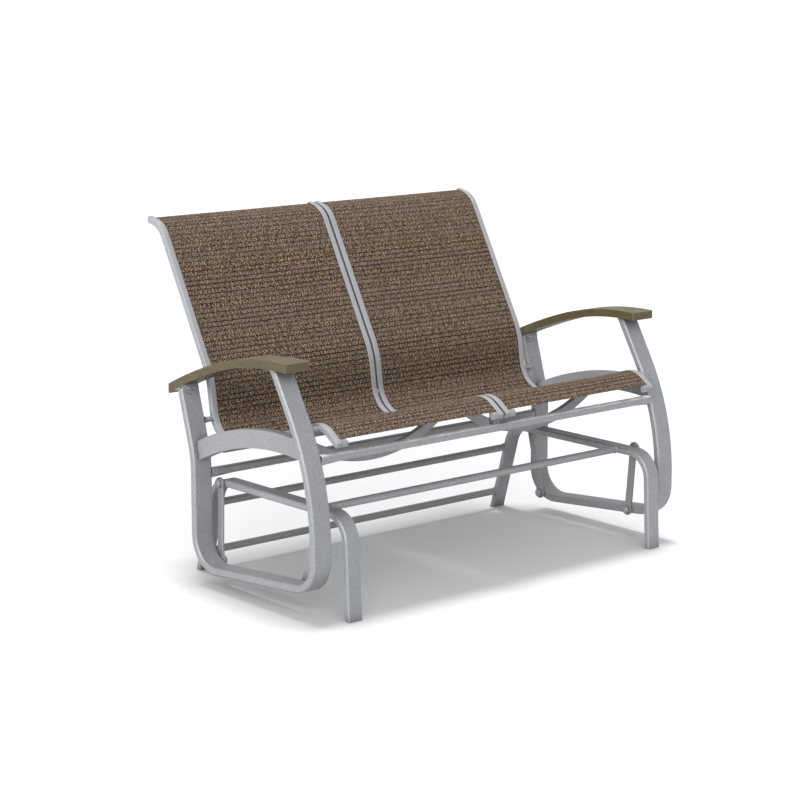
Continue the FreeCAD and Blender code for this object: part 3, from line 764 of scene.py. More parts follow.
# the middle support's darker base is painted shade under the sling
SUPPORT_COAT_PAINTED_SHADE = PowderCoat("silver_support_coat_painted_shade", base=(0.150, 0.153, 0.162))
BRACE_COAT = PowderCoat("silver_brace_coat", rounding=0.0020)
STEEL = TurnedSteel()
PAD = PadResin()
CLOTH = SlingCloth()
THREAD = SewingThread()
CAP = MouldedPlastic("pale_cap_plastic", (0.195, 0.200, 0.212), (0.28, 0.287, 0.30))
GLIDE = MouldedPlastic("grey_glide_plastic", (0.16, 0.162, 0.17), (0.26, 0.26, 0.27), 0.55)
NYLON = MouldedPlastic("grey_washer_nylon", (0.12, 0.122, 0.128), (0.20, 0.20, 0.21), 0.45)


def side_point(place: Pair) -> Vector:
    """A point on the bench's middle plane, from its depth and height in millimetres."""
    return Vector((0.0, place[0] / 1000.0, place[1] / 1000.0))


def is_vert(part: Any) -> bool:
    """Whether a part of a bmesh is a vertex."""
    return isinstance(part, bmesh.types.BMVert)


def add_piece(name: str, mesh: bmesh.types.BMesh, finish: Finish, body: Body,
              smooth_degrees: float = 40.0) -> bpy.types.Object:
    """Turn a bmesh into a finished piece that rides on a body.

    Args:
        name: The piece's name.
        mesh: The bmesh, in metres and in place; it is freed here.
        finish: The piece's finish.
        body: The body that it rides on.
        smooth_degrees: Edges sharper than this stay crisp.

    Returns:
        The new object.
    """
    data = bpy.data.meshes.new(name)
    mesh.normal_update()
    mesh.to_mesh(data)
    mesh.free()
    piece = bpy.data.objects.new(name, data)
    bpy.context.scene.collection.objects.link(piece)
    data.materials.append(finish.material())
    data.shade_smooth()
    data.set_sharp_from_angle(angle=math.radians(smooth_degrees))
    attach(piece, body.value)
    LOG.info("%s: %d faces on %s", name, len(data.polygons), body.value)
    return piece


def lathe(mesh: bmesh.types.BMesh, profile: Iterable[Pair], origin: Vector,
          steps: int = 32) -> list[bmesh.types.BMVert]:
    """Spin a profile about the X axis through a point.

    Args:
        mesh: The bmesh that takes the shape.
        profile: Distance along X and radius of each corner, in metres.
        origin: The point on the axis that the distances start from.
        steps: Facets in the full turn.

    Returns:
        The vertices that were made.
    """
    before = set(mesh.verts)
    chain = [mesh.verts.new(origin + Vector((x, 0.0, r))) for x, r in profile]
    edges = [mesh.edges.new(pair) for pair in zip(chain, chain[1:])]
    bmesh.ops.spin(mesh, geom=chain + edges, cent=origin, axis=(1.0, 0.0, 0.0), angle=2 * math.pi,
                   steps=steps, use_merge=True, use_duplicate=False)
    bmesh.ops.remove_doubles(mesh, verts=[v for v in mesh.verts if v not in before], dist=1e-6)
    made = [v for v in mesh.verts if v not in before]
    faces = list({f for v in made for f in v.link_faces})
    bmesh.ops.recalc_face_normals(mesh, faces=faces)
    return made


@dataclass
class SidePath:
    """Straight runs and arcs in the bench's side view, in millimetres of depth and height."""

    corners: tuple[Pair, ...]
    bends: Span
    arc_step: float = 5.0
    run_step: float = 12.0
    fewest_arc_steps: int = 3
    shortest_run: float = 1e-5

    def moved_back(self, inset: float) -> "SidePath":
        """The same path behind itself.

        Args:
            inset: How far behind, square to the path.

        Returns:
            The path with its corners and bends moved.
        """
        points = [Vector(c) for c in self.corners]
        ways = [(b - a).normalized() for a, b in zip(points, points[1:])]
        sides = [Vector((w.y, -w.x)) for w in ways]
        moved = [points[0] - sides[0] * inset]
        for point, before, after in zip(points[1:], sides, sides[1:]):
            middle = (before + after).normalized()
            moved.append(point - middle * (inset / middle.dot(before)))
        moved.append(points[-1] - sides[-1] * inset)
        turns = [before.x * after.y - before.y * after.x for before, after in zip(ways, ways[1:])]
        radii = [radius - inset if turn > 0 else radius + inset for turn, radius in zip(turns, self.bends)]
        return SidePath(tuple((p.x, p.y) for p in moved), tuple(radii))

    def draw(self, mesh: bmesh.types.BMesh, x: float) -> list[bmesh.types.BMVert]:
        """Lay the path down as a chain of edges.

        Args:
            mesh: The bmesh that takes the chain.
            x: Where it stands across the bench, in metres.

        Returns:
            The chain's vertices in order, in metres.
        """
        points = [Vector((x, y / 1000.0, z / 1000.0)) for y, z in self.corners]
        chain = [mesh.verts.new(points[0])]
        for i, radius in enumerate(self.bends):
            before, corner, after = points[i:i + 3]
            back, ahead = (before - corner).normalized(), (after - corner).normalized()
            half = back.angle(ahead) / 2
            run = radius / 1000.0 / math.tan(half)
            self._run(mesh, chain, corner + back * run)
            centre = corner + (back + ahead).normalized() * (radius / 1000.0 / math.sin(half))
            turn = math.pi - 2 * half
            axis = (math.copysign(1.0, (-back).cross(ahead).x), 0.0, 0.0)
            steps = max(self.fewest_arc_steps, round(turn * radius / self.arc_step))
            made = bmesh.ops.spin(mesh, geom=[chain[-1]], cent=centre, axis=axis, angle=turn, steps=steps,
                                  use_duplicate=False)
            chain = self._walk(chain, made["geom_last"][0])
        self._run(mesh, chain, points[-1])
        return chain

    @staticmethod
    def _walk(chain: list[bmesh.types.BMVert], last: bmesh.types.BMVert) -> list[bmesh.types.BMVert]:
        """Follow the new edges from the chain's end to the last vertex."""
        known = set(chain)
        tip = chain[-1]
        while tip is not last:
            tip = next(e.other_vert(tip) for e in tip.link_edges if e.other_vert(tip) not in known)
            chain.append(tip)
            known.add(tip)
        return chain

    def _run(self, mesh: bmesh.types.BMesh, chain: list[bmesh.types.BMVert], end: Vector) -> None:
        """Add a straight run in even steps."""
        start = chain[-1].co.copy()
        length = (end - start).length
        if length < self.shortest_run:
            return
        count = max(1, round(length * 1000.0 / self.run_step))
        for i in range(1, count + 1):
            vert = mesh.verts.new(start.lerp(end, i / count))
            mesh.edges.new((chain[-1], vert))
            chain.append(vert)


@dataclass(frozen=True)
class ClothPoint:
    """One point of a sling's middle in the side view, in metres."""

    place: Vector
    inward: Vector
    way: Vector
    run: float
    to_hem: float
    folded: bool = False


@dataclass
class Sling:
    """One taut sling of woven cloth, held in the grooves of its two rails.

    Millimetres. The rails' front face runs through the corners; the cloth lies a little behind
    it, its edges reach into the grooves and both of its ends are folded back and sewn. A sag gives
    its depth, then its middle and its reach in metres; the bend's rise has its middle in depth
    and height.
    """

    side: str
    corners: tuple[Pair, ...] = ((389.9, 880.8), (338.5, 868.0), (140.0, 509.0),
                                 (114.0, 332.0), (-300.0, 465.0), (-359.0, 424.0))
    bends: Span = (70.0, 180.0, 78.0, 70.0)
    inset: float = 2.85
    inner_x: float = 16.0
    outer_x: float = 516.0
    edge_steps: Span = (4.5, 4.0)
    columns: int = 38
    thickness: float = 1.5
    top_y: float = 386.0
    front_y: float = -300.0
    hem_z: float = 430.0
    hem_length: float = 22.0
    hem_turn: float = 0.95
    hem_turn_steps: int = 6
    lumbar_z: float = 500.0
    back_sag: Span = (3.0, 0.68, 0.13)
    seat_sag: Span = (4.5, -0.11, 0.14)
    bend_rise: Span = (1.5, 0.10, 0.37, 0.06)
    corner_drop: float = 4.0
    corner_drop_width: float = 22.0
    corner_drop_length: float = 30.0
    stitch_rows: Span = (14.5, 18.5)
    stitch_pitch: float = 4.6
    stitch_margin: float = 8.0
    stitch_stand: float = 0.12
    stitch_size: Triple = (1.55, 0.42, 0.34)

    def _cloth_line(self) -> list[ClothPoint]:
        """Points of the cloth between its two folds, from the top edge to the front one."""
        mesh = bmesh.new()
        path = SidePath(self.corners, self.bends).moved_back(self.inset)
        chain = [v.co.copy() for v in path.draw(mesh, 0.0)]
        mesh.free()
        top, front, hem = self.top_y / 1000.0, self.front_y / 1000.0, self.hem_z / 1000.0
        points = [p for p in chain if p.y < top and (p.y > front or p.z > hem)]
        points.insert(0, self._cut(chain, 1, top))
        points.append(self._cut(chain[::-1], 2, hem))
        runs = [0.0]
        for a, b in zip(points, points[1:]):
            runs.append(runs[-1] + (b - a).length)
        made = []
        for i, point in enumerate(points):
            way = (points[min(i + 1, len(points) - 1)] - points[max(i - 1, 0)]).normalized()
            inward = Vector((0.0, -way.z, way.y))
            made.append(ClothPoint(point, inward, way, runs[i], runs[-1] - runs[i]))
        return made

    @staticmethod
    def _cut(chain: list[Vector], axis: int, level: float) -> Vector:
        """Where a chain first crosses a level."""
        for a, b in zip(chain, chain[1:]):
            if (a[axis] - level) * (b[axis] - level) <= 0 and a[axis] != b[axis]:
                return a.lerp(b, (level - a[axis]) / (b[axis] - a[axis]))
        raise ValueError("the path never crosses that level")

    def _fold(self, line: list[ClothPoint], sign: int) -> list[ClothPoint]:
        """The hem at the end of a line: a tight turn, then a strip that lies behind the cloth.

        Args:
            line: The cloth's points, with the folded end last.
            sign: 1 if the line runs from the top to the front, -1 if it runs back up.

        Returns:
            The hem's points, from the turn to the strip's raw edge.
        """
        end, radius = line[-1], self.hem_turn / 1000.0
        made, run = [], end.run
        for step in range(1, self.hem_turn_steps):
            turn = math.pi * step / self.hem_turn_steps
            place = end.place + end.inward * (radius - radius * math.cos(turn)) \
                + end.way * (sign * radius * math.sin(turn))
            run += sign * math.pi * radius / self.hem_turn_steps
            made.append(ClothPoint(place, end.inward, end.way, run, end.to_hem, True))
        last_step = math.pi * radius / self.hem_turn_steps
        for point in reversed(line):
            behind = abs(end.run - point.run)
            made.append(ClothPoint(point.place + point.inward * (2 * radius), point.inward, point.way,
                                   run + sign * (behind + last_step), point.to_hem, True))
            if behind > self.hem_length / 1000.0:
                break
        return made

    def _profile(self) -> list[ClothPoint]:
        """The whole sling in the side view, with both hems."""
        line = self._cloth_line()
        return self._fold(line[::-1], -1)[::-1] + line + self._fold(line, 1)

    def _hang(self, x: float, point: ClothPoint) -> Vector:
        """How far a point of the cloth hangs from its place in the side view.

        Args:
            x: Where it is across the bench, in metres.
            point: Its place in the side view.

        Returns:
            The shift in metres.
        """
        width = (self.outer_x - self.inner_x) / 1000.0
        across = (x - self.inner_x / 1000.0) / width
        y, z = point.place.y, point.place.z
        on_back = z >= self.lumbar_z / 1000.0
        sag, middle, reach = self.back_sag if on_back else self.seat_sag
        depth = sag * math.exp(-(((z if on_back else y) - middle) / reach) ** 2)
        rise, bend_y, bend_z, reach = self.bend_rise
        depth -= rise * math.exp(-((y - bend_y) ** 2 + (z - bend_z) ** 2) / reach ** 2)
        belly = 1.0 - (2 * across - 1) ** 2
        from_rail = min(across, 1 - across) * width * 1000.0
        corner = max(0.0, 1 - (from_rail / self.corner_drop_width) ** 2)
        fade = max(0.0, 1 - point.to_hem / (self.corner_drop_length / 1000.0)) ** 2
        drop = self.corner_drop * corner * fade / 1000.0
        return point.inward * (belly * depth / 1000.0) + point.way * drop

    def build(self, finish: SlingCloth, thread: SewingThread) -> bpy.types.Object:
        """Weave, fold, hang and sew the sling.

        Args:
            finish: The cloth's finish.
            thread: The stitches' finish.

        Returns:
            The finished piece.
        """
        profile = self._profile()
        mesh = bmesh.new()
        x = self.inner_x / 1000.0
        first = [mesh.verts.new(Vector((x, p.place.y, p.place.z))) for p in profile]
        edges = [mesh.edges.new(pair) for pair in zip(first, first[1:])]
        rows = [first]
        even = (self.outer_x - self.inner_x - 2 * sum(self.edge_steps)) / self.columns
        for step in (*self.edge_steps, *[even] * self.columns, *reversed(self.edge_steps)):
            made = bmesh.ops.extrude_edge_only(mesh, edges=edges)["geom"]
            verts = set(filter(is_vert, made))
            bmesh.ops.translate(mesh, verts=list(verts), vec=(step / 1000.0, 0.0, 0.0))
            edges = [g for g in made if isinstance(g, bmesh.types.BMEdge) and verts.issuperset(g.verts)]
            beside = [e.other_vert(v) for v in rows[-1] for e in v.link_edges]
            rows.append([v for v in beside if v in verts])
        self._shape(mesh, rows, profile)
        self._clear_grooves(mesh, rows, profile)
        self._sort(mesh)
        if SIDES[self.side] < 0:
            bmesh.ops.scale(mesh, vec=(-1.0, 1.0, 1.0), verts=mesh.verts)
        self._face_front(mesh)
        piece = add_piece("sling_cloth_" + self.side, mesh, finish, Body.SEAT,
                          smooth_degrees=80.0)
        solid = piece.modifiers.new("thickness", "SOLIDIFY")
        solid.thickness = self.thickness / 1000.0
        solid.offset = 0.0
        solid.use_even_offset = True
        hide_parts("sling_" + self.side)
        sewing = self._sew(thread)
        return piece

    def _shape(self, mesh: bmesh.types.BMesh, rows: list[list[bmesh.types.BMVert]],
               profile: list[ClothPoint]) -> None:
        """Give the cloth a UV map in metres and hang it between the rails.

        Args:
            mesh: The cloth.
            rows: The vertices of each column, in the profile's order.
            profile: The side view's points.
        """
        layer = mesh.loops.layers.uv.new("cloth")
        flat = {v: (v.co.x, point.run) for row in rows for v, point in zip(row, profile)}
        for face in mesh.faces:
            for loop in face.loops:
                loop[layer].uv = flat[loop.vert]
        for row in rows:
            for vert, point in zip(row, profile):
                vert.co += self._hang(vert.co.x, point)

    @staticmethod
    def _clear_grooves(mesh: bmesh.types.BMesh, rows: list[list[bmesh.types.BMVert]],
                       profile: list[ClothPoint]) -> None:
        """Cut the folded strips short of the grooves, where only one layer goes in.

        Args:
            mesh: The cloth.
            rows: The vertices of each column, in the profile's order.
            profile: The side view's points.
        """
        folded = {row[k] for row in (rows[0], rows[-1]) for k, point in enumerate(profile) if point.folded}
        spare = [f for f in mesh.faces if any(v in folded for v in f.verts)]
        bmesh.ops.delete(mesh, geom=spare, context="FACES")

    @staticmethod
    def _sort(mesh: bmesh.types.BMesh) -> None:
        """Put edges and faces in the order of their vertices, so that each run gives the same mesh."""
        mesh.verts.index_update()
        count = len(mesh.verts)
        for parts in (mesh.edges, mesh.faces):
            parts.sort(key=lambda p: min(v.index for v in p.verts) * count + max(v.index for v in p.verts))

    @staticmethod
    def _face_front(mesh: bmesh.types.BMesh) -> None:
        """Turn all faces towards the sitter, going by the largest one of the seat's middle."""
        bmesh.ops.recalc_face_normals(mesh, faces=mesh.faces)
        mesh.normal_update()
        seat = [f for f in mesh.faces if -0.2 < f.calc_center_median().y < -0.1]
        if max(seat, key=lambda f: f.calc_area()).normal.z < 0:
            bmesh.ops.reverse_faces(mesh, faces=mesh.faces)

    def _sew(self, thread: SewingThread) -> bpy.types.Object:
        """Run two rows of stitches along each hem, seen on both faces of the cloth.

        Args:
            thread: The stitches' finish.

        Returns:
            The stitches as one piece.
        """
        mesh = bmesh.new()
        line = self._cloth_line()
        start = self.inner_x + self.stitch_margin
        count = int((self.outer_x - self.inner_x - 2 * self.stitch_margin) / self.stitch_pitch)
        half = self.thickness / 2 + self.stitch_stand
        for ends in (line, line[::-1]):
            for row in self.stitch_rows:
                point = min(ends, key=lambda p: abs(abs(p.run - ends[0].run) - row / 1000.0))
                turn = Matrix((Vector((1.0, 0.0, 0.0)), point.way, -point.inward)).transposed().to_4x4()
                size = Matrix.Diagonal((*(s / 1000.0 for s in self.stitch_size), 1.0))
                for i in range(count + 1):
                    x = (start + i * self.stitch_pitch) / 1000.0
                    hung = point.place + self._hang(x, point)
                    for lift in (-half, half + 2 * self.hem_turn):
                        spot = Vector((x, hung.y, hung.z)) + point.inward * (lift / 1000.0)
                        bmesh.ops.create_icosphere(mesh, subdivisions=1, radius=1.0,
                                                   matrix=Matrix.Translation(spot) @ turn @ size)
        if SIDES[self.side] < 0:
            bmesh.ops.scale(mesh, vec=(-1.0, 1.0, 1.0), verts=mesh.verts)
            bmesh.ops.reverse_faces(mesh, faces=mesh.faces)
        return add_piece("sling_stitches_" + self.side, mesh, thread, Body.SEAT,
                         smooth_degrees=180.0)


@dataclass(frozen=True)
class CadFinish:
    """Which finish a family of CAD nodes takes, and how far in millimetres its edges are rounded."""

    prefix: str
    finish: Finish
    edge: float
    segments: int = 2
    weld_distance: float = 1e-5
    flat_degrees: float = 0.6
    edge_degrees: float = 28.0
    face_weight: int = 60

    def dress(self, node: bpy.types.Object) -> None:
        """Give a CAD node its material and soften its edges.

        Args:
            node: The CAD node's object; its own mesh stays as it is.
        """
        node.data.materials.clear()
        node.data.materials.append(self.finish.material())
        weld = node.modifiers.new("weld", "WELD")
        weld.merge_threshold = self.weld_distance
        flat = node.modifiers.new("flats", "DECIMATE")
        flat.decimate_type = "DISSOLVE"
        flat.angle_limit = math.radians(self.flat_degrees)
        edge = node.modifiers.new("eased_edges", "BEVEL")
        edge.width = self.edge / 1000.0
        edge.segments = self.segments
        edge.limit_method = "ANGLE"
        edge.angle_limit = math.radians(self.edge_degrees)
        edge.use_clamp_overlap = True
        normals = node.modifiers.new("even_normals", "WEIGHTED_NORMAL")
        normals.keep_sharp = True
        normals.weight = self.face_weight


CAD_FINISHES: tuple[CadFinish, ...] = (
    CadFinish("arm_pad_", PAD, 3.2, 4),
    CadFinish("rail_caps_", CAP, 0.6),
    CadFinish("foot_glides", GLIDE, 0.4),
    CadFinish("low_pivot_pins", STEEL, 0.6),
    CadFinish("top_pivot_pins", STEEL, 0.6),
    CadFinish("sling_rail_", RAIL_COAT, 0.7),
    CadFinish("arm_brace_", BRACE_COAT, 1.1),
    CadFinish("seat_bow_", BOW_COAT_PAINTED_HIGHLIGHT, 1.6),
    CadFinish("seat_rail_front", FRONT_RAIL_COAT_PAINTED_HIGHLIGHT, 1.1),
    CadFinish("middle_support", SUPPORT_COAT_PAINTED_SHADE, 1.1),
    CadFinish("", COAT, 1.1),
)


def dress_cad_nodes(nodes: dict[str, bpy.types.Object]) -> None:
    """Give every CAD node the first finish whose prefix fits its name."""
    for name, node in nodes.items():
        chosen = next(f for f in CAD_FINISHES if name.startswith(f.prefix))
        chosen.dress(node)
        LOG.info("%s wears %s", name, chosen.finish.name)


@dataclass
class Linkage:
    """Small parts of the eight pivots: nylon washers beside the links and stepped caps.

    Millimetres in the side view (depth, height) for each pivot.
    """

    front_top: Pair = (-294.0, 249.5)
    front_low: Pair = (-259.0, 72.3)
    rear_top: Pair = (100.0, 246.2)
    rear_low: Pair = (76.0, 56.7)
    top_x: float = 530.4
    low_x: float = 545.6
    link_thickness: float = 6.0
    gap: float = 1.4
    play: float = 0.25
    washer: Pair = (8.9, 12.5)
    washer_lift: float = 0.05
    washer_chamfer: float = 0.4
    tube_face_top: float = 526.0
    arm_face: float = 550.0
    pin_length: float = 13.8
    cap_radius: float = 9.3
    cap_rise: float = 2.6
    cap_shape: tuple[Pair, ...] = (
        (-0.12, 0.0), (-0.12, 1.0), (0.22, 1.0), (0.36, 0.95), (0.36, 0.70), (0.20, 0.66), (0.20, 0.60),
        (0.75, 0.57), (0.93, 0.50), (1.0, 0.38), (1.0, 0.0))

    def build(self) -> list[bpy.types.Object]:
        """Make the washers of each link and the caps of each pin.

        Returns:
            The new pieces.
        """
        made = []
        pivots = {"front": (self.front_top, self.front_low), "rear": (self.rear_top, self.rear_low)}
        for end, places in pivots.items():
            for side, sign in SIDES.items():
                mesh = bmesh.new()
                for place, x in zip(places, (self.top_x, self.low_x)):
                    for way in (-1, 1):
                        face = x + way * self.link_thickness / 2
                        self._washer(mesh, sign, face, way * (self.gap - self.play), place)
                body = Body("link_%s_%s" % (end, side))
                made.append(add_piece("link_washers_%s_%s" % (end, side), mesh, NYLON, body))
        made.append(self._caps("top_pin_caps", Body.BASE, (self.front_top, self.rear_top),
                               self.tube_face_top + self.pin_length, 1))
        made.append(self._caps("low_pin_caps", Body.SEAT, (self.front_low, self.rear_low),
                               self.arm_face - self.pin_length, -1))
        return made

    def _washer(self, mesh: bmesh.types.BMesh, sign: int, face: float, depth: float,
                place: Pair) -> None:
        """Add one flat washer against a link's face.

        Args:
            mesh: The bmesh that takes it.
            sign: 1 on the bench's +X side, -1 on the other.
            face: Where the link's face is, away from the middle of the bench.
            depth: How far the washer reaches out from it, with its direction.
            place: Depth and height of the pivot.
        """
        inner, outer = (r / 1000.0 for r in self.washer)
        a, b = (sign * (face + share * depth) / 1000.0 for share in (self.washer_lift, 1.0))
        eased = outer - self.washer_chamfer / 1000.0
        lathe(mesh, [(a, inner), (a, outer), (b, eased), (b, inner), (a, inner)], side_point(place), 36)

    def _caps(self, name: str, body: Body, places: Iterable[Pair], start: float,
              way: int) -> bpy.types.Object:
        """Stepped caps on the pins' heads: a rim, a groove and a raised button.

        Args:
            name: The piece's name.
            body: The body that it rides on.
            places: Depth and height of each pin.
            start: Where the heads' faces are, away from the middle of the bench.
            way: 1 where the heads face outwards, -1 where they face inwards.

        Returns:
            The new piece.
        """
        mesh = bmesh.new()
        for sign in SIDES.values():
            profile = [(sign * (start + way * rise * self.cap_rise) / 1000.0,
                        share * self.cap_radius / 1000.0) for rise, share in self.cap_shape]
            for place in places:
                lathe(mesh, profile, side_point(place))
        return add_piece(name, mesh, STEEL, body)


@dataclass
class WeldBeads:
    """Fillet welds where the round cross bars and the standoffs meet the flat tubes.

    Millimetres. The bead's shape gives, in legs, how far each corner stands from the face and from
    the bar; it runs a little into both.
    """

    leg: float = 2.0
    shape: tuple[Pair, ...] = ((0.15, 0.92), (0.42, 0.50), (0.92, 0.15))
    tip: float = 1.1
    face_bite: float = 0.5
    bar_bite: float = 0.6
    ripples: int = 24
    ripple_height: float = 0.18
    base_bars: tuple[Pair, ...] = ((-266.0, 247.0), (158.0, 181.0), (194.0, 49.2))
    base_bar_radius: float = 9.5
    arch_inner_face: float = 484.0
    standoffs: tuple[Pair, ...] = ((130.5, 404.0), (-290.0, 446.5))
    standoff_radius: float = 7.0
    standoff_faces: Pair = (528.5, 550.0)
    standoff_share: float = 0.6

    def build(self) -> list[bpy.types.Object]:
        """Lay the beads of the base and of the seat.

        Returns:
            The new pieces.
        """
        base = bmesh.new()
        for sign in SIDES.values():
            for place in self.base_bars:
                self._ring(base, sign * self.arch_inner_face, -sign, place, self.base_bar_radius)
        seat = bmesh.new()
        for sign in SIDES.values():
            for place in self.standoffs:
                for face, way in zip(self.standoff_faces, (1, -1)):
                    self._ring(seat, sign * face, sign * way, place, self.standoff_radius,
                               self.standoff_share)
        return [add_piece("base_weld_beads", base, COAT, Body.BASE, smooth_degrees=60.0),
                add_piece("standoff_weld_beads", seat, COAT, Body.SEAT, smooth_degrees=60.0)]

    def _ring(self, mesh: bmesh.types.BMesh, face: float, way: int, place: Pair, radius: float,
              share: float = 1.0) -> None:
        """Add one ripple-faced bead round a bar.

        Args:
            mesh: The bmesh that takes it.
            face: Where the face that the bar meets is, across the bench.
            way: The direction along X in which the bar leaves that face.
            place: Depth and height of the bar's axis.
            radius: The bar's radius.
            share: The bead's size against the full one.
        """
        leg, root = self.leg * share, (-self.face_bite, radius - self.bar_bite)
        corners = [root, (-self.face_bite, radius + leg)]
        corners += [(a * leg, radius + r * leg) for a, r in self.shape]
        corners += [(self.tip * leg, radius - self.bar_bite), root]
        profile = [((face + way * a) / 1000.0, r / 1000.0) for a, r in corners]
        origin = side_point(place)
        for vert in lathe(mesh, profile, origin, 48):
            out = Vector((0.0, vert.co.y - origin.y, vert.co.z - origin.z))
            if out.length > (radius + 0.1) / 1000.0:
                turn = math.atan2(out.y, out.z)
                wave = math.sin(self.ripples * turn + 5 * vert.co.x)
                vert.co += out.normalized() * (self.ripple_height / 1000.0 * wave)


@dataclass
class BracketTabs:
    """The raised round cup at the lower end of each pad bracket, with two screws into the upright.

    Millimetres. The cup lies on the bracket's leg, in front of the rear upright and under the pad.
    """

    top: Pair = (162.5, 482.7)
    knee: Pair = (113.5, 318.0)
    arm_x: float = 577.0
    front: float = 12.4
    width: float = 40.0
    reach: Pair = (6.0, -8.5)
    under_pad: float = 4.0
    arc_steps: int = 12
    thickness: float = 4.2
    easing: float = 2.6
    screw_spread: float = 8.0
    screw_radius: float = 2.9
    screw_shape: tuple[Pair, ...] = ((-1.0, 0.0), (-1.0, 1.0), (0.9, 1.0), (1.7, 0.78), (2.1, 0.45),
                                     (2.1, 0.28), (1.2, 0.24), (1.2, 0.0))

    def build(self) -> list[bpy.types.Object]:
        """Make both cups and their four screws.

        Returns:
            The new pieces.
        """
        tabs, screws = bmesh.new(), bmesh.new()
        for sign in SIDES.values():
            turn = self._turn(sign)
            self._cup(tabs, turn)
            for side in (-1, 1):
                self._screw(screws, turn, side * self.screw_spread)
        bmesh.ops.recalc_face_normals(tabs, faces=tabs.faces)
        return [add_piece("pad_bracket_tabs", tabs, COAT, Body.SEAT),
                add_piece("pad_bracket_screws", screws, STEEL, Body.SEAT)]

    def _turn(self, sign: int) -> Matrix:
        """Where a cup stands: X across the bench, Y up the upright and Z out of its front face."""
        along = (Vector((0.0, *self.top)) - Vector((0.0, *self.knee))).normalized()
        out = Vector((0.0, -along.z, along.y))
        origin = Vector((sign * self.arm_x, *self.top)) + out * self.front
        place = Matrix((Vector((1.0, 0.0, 0.0)), along, out)).transposed().to_4x4()
        return Matrix.Translation(origin / 1000.0) @ place

    def _cup(self, mesh: bmesh.types.BMesh, turn: Matrix) -> None:
        """Add one cup: a straight top and a round lower end, with eased edges.

        Args:
            mesh: The bmesh that takes it.
            turn: Where the cup stands.
        """
        half, (high, low) = self.width / 2, self.reach
        outline = [(-half, high + self.under_pad), (half, high + self.under_pad)]
        for step in range(self.arc_steps + 1):
            a = math.pi * step / self.arc_steps
            outline.append((half * math.cos(a), high + (low - high) * math.sin(a)))
        verts = [mesh.verts.new(turn @ (Vector((x, y, 0.0)) / 1000.0)) for x, y in outline]
        face = mesh.faces.new(verts)
        raised = list(filter(is_vert, bmesh.ops.extrude_face_region(mesh, geom=[face])["geom"]))
        out = turn.to_3x3() @ Vector((0.0, 0.0, self.thickness / 1000.0))
        bmesh.ops.translate(mesh, verts=raised, vec=out)
        kept = set(raised)
        rim = [e for e in {e for v in raised for e in v.link_edges} if kept.issuperset(e.verts)]
        bmesh.ops.bevel(mesh, geom=rim, affect="EDGES", offset=self.easing / 1000.0, segments=3,
                        profile=0.5, material=-1)

    def _screw(self, mesh: bmesh.types.BMesh, turn: Matrix, x: float) -> None:
        """Add one pan-headed screw.

        Args:
            mesh: The bmesh that takes it.
            turn: Where the cup stands.
            x: How far the screw is from the cup's middle.
        """
        profile = [(a / 1000.0, share * self.screw_radius / 1000.0) for a, share in self.screw_shape]
        made = lathe(mesh, profile, Vector((0.0, 0.0, 0.0)), 20)
        spot = Vector((x, (self.reach[0] + self.reach[1]) / 2, self.thickness)) / 1000.0
        face_out = Matrix(((0.0, 1.0, 0.0), (0.0, 0.0, 1.0), (1.0, 0.0, 0.0))).to_4x4()
        bmesh.ops.transform(mesh, verts=made, matrix=turn @ Matrix.Translation(spot) @ face_out)


@dataclass(frozen=True)
class SoftSun:
    """A distant soft light: its strength, how wide it looks in degrees, and where it stands."""

    name: str
    strength: float
    angle: float
    towards: Triple

    def build(self) -> bpy.types.Object:
        """Hang the light and return its object."""
        sun = bpy.data.lights.new(self.name, "SUN")
        sun.energy = self.strength
        sun.angle = math.radians(self.angle)
        light = bpy.data.objects.new(self.name, sun)
        light.rotation_euler = Vector(self.towards).to_track_quat("Z", "Y").to_euler()
        bpy.context.scene.collection.objects.link(light)
        return light


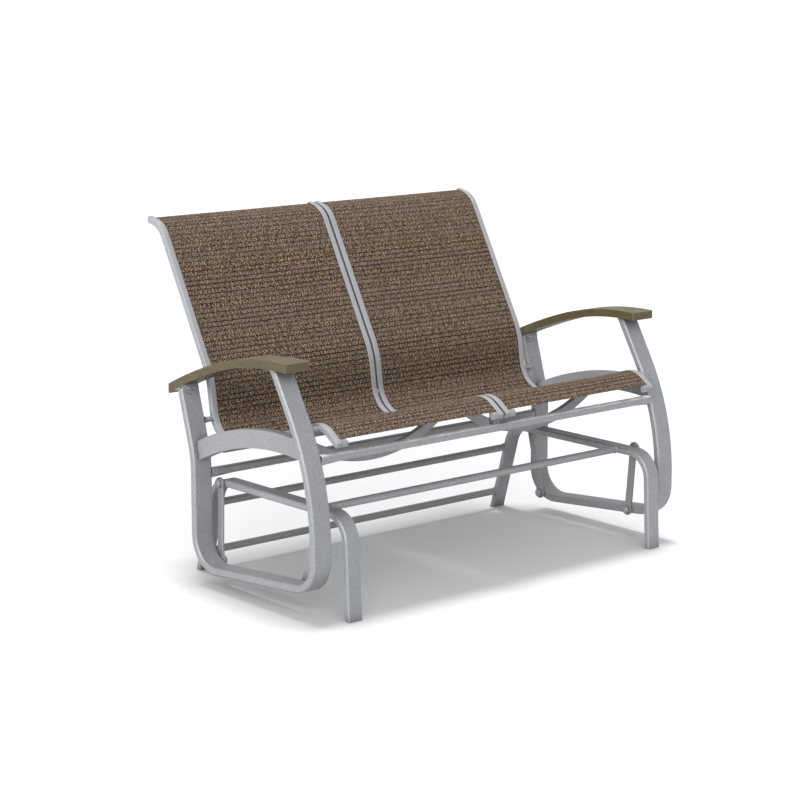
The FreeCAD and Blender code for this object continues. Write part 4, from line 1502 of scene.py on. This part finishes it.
@dataclass
class Studio:
    """Pale floor, even surround, three soft lights and the photograph's camera."""

    position: Triple = (-3.7028, -4.2985, 1.5405)
    azimuth: float = 40.5
    elevation: float = 11.35
    lens: float = 101.21
    sensor: float = 36.0
    far: float = 400.0
    floor_half: float = 150.0
    surround: float = 0.62
    backdrop: float = 1.02
    overhead: SoftSun = SoftSun("overhead", 1.95, 14.0, (0.05, 0.16, 1.0))
    front_fill: SoftSun = SoftSun("front_fill", 1.6, 50.0, (-0.55, -0.75, 0.37))
    left_key: SoftSun = SoftSun("left_key", 2.5, 40.0, (-0.90, -0.10, 0.42))
    key_light: bpy.types.Object | None = field(default=None, init=False)

    def build(self) -> None:
        """Make the floor, the lights and the camera."""
        self._floor()
        self._surround()
        self._lights()
        self._camera()
        view = bpy.context.scene.view_settings
        view.view_transform = "Standard"
        view.look = "None"

    def _floor(self) -> None:
        """A very wide pale floor."""
        mesh = bmesh.new()
        bmesh.ops.create_grid(mesh, x_segments=1, y_segments=1, size=self.floor_half)
        data = bpy.data.meshes.new("studio_floor")
        mesh.to_mesh(data)
        mesh.free()
        floor = bpy.data.objects.new("studio_floor", data)
        bpy.context.scene.collection.objects.link(floor)
        data.materials.append(PaleFloor().material())

    def _surround(self) -> None:
        """Even white light from all round."""
        world = bpy.data.worlds.new("studio_surround")
        world.use_nodes = True
        graph = Graph(world.node_tree)
        back = world.node_tree.nodes["Background"]
        back.inputs["Color"].default_value = rgba((1.0, 1.0, 1.0))
        seen = graph.add("LightPath").outputs["Is Camera Ray"]
        strength = graph.plus(graph.times(seen, self.backdrop - self.surround), self.surround)
        graph.feed(back.inputs["Strength"], strength)
        bpy.context.scene.world = world

    def _lights(self) -> None:
        """A soft overhead light, a fill from the front and a key from the left."""
        self.overhead.build()
        self.front_fill.build()
        self.key_light = self.left_key.build()

    def aim(self, pieces: Iterable[bpy.types.Object]) -> None:
        """Let the key light these pieces and not the floor."""
        lit = bpy.data.collections.new("lit_bench")
        for piece in pieces:
            lit.objects.link(piece)
        self.key_light.light_linking.receiver_collection = lit

    def _camera(self) -> None:
        """The camera that the photograph was taken with."""
        data = bpy.data.cameras.new("photo_camera")
        data.lens = self.lens
        data.sensor_width = self.sensor
        data.clip_end = self.far
        camera = bpy.data.objects.new("photo_camera", data)
        camera.location = self.position
        a, e = math.radians(self.azimuth), math.radians(self.elevation)
        ahead = Vector((math.sin(a) * math.cos(e), math.cos(a) * math.cos(e), -math.sin(e)))
        camera.rotation_euler = ahead.to_track_quat("-Z", "Y").to_euler()
        bpy.context.scene.collection.objects.link(camera)
        bpy.context.scene.camera = camera


def main() -> None:
    """Build the bench's looks in order."""
    logging.basicConfig(level=logging.INFO, format="%(name)s: %(message)s")
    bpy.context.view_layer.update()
    studio = Studio()
    studio.build()
    dress_cad_nodes(frame["nodes"])
    for side in SIDES:
        Sling(side).build(CLOTH, THREAD)
    Linkage().build()
    WeldBeads().build()
    BracketTabs().build()
    studio.aim(o for o in bpy.context.scene.objects if o.type == "MESH" and o.name != "studio_floor")


if __name__ == "__main__":
    main()
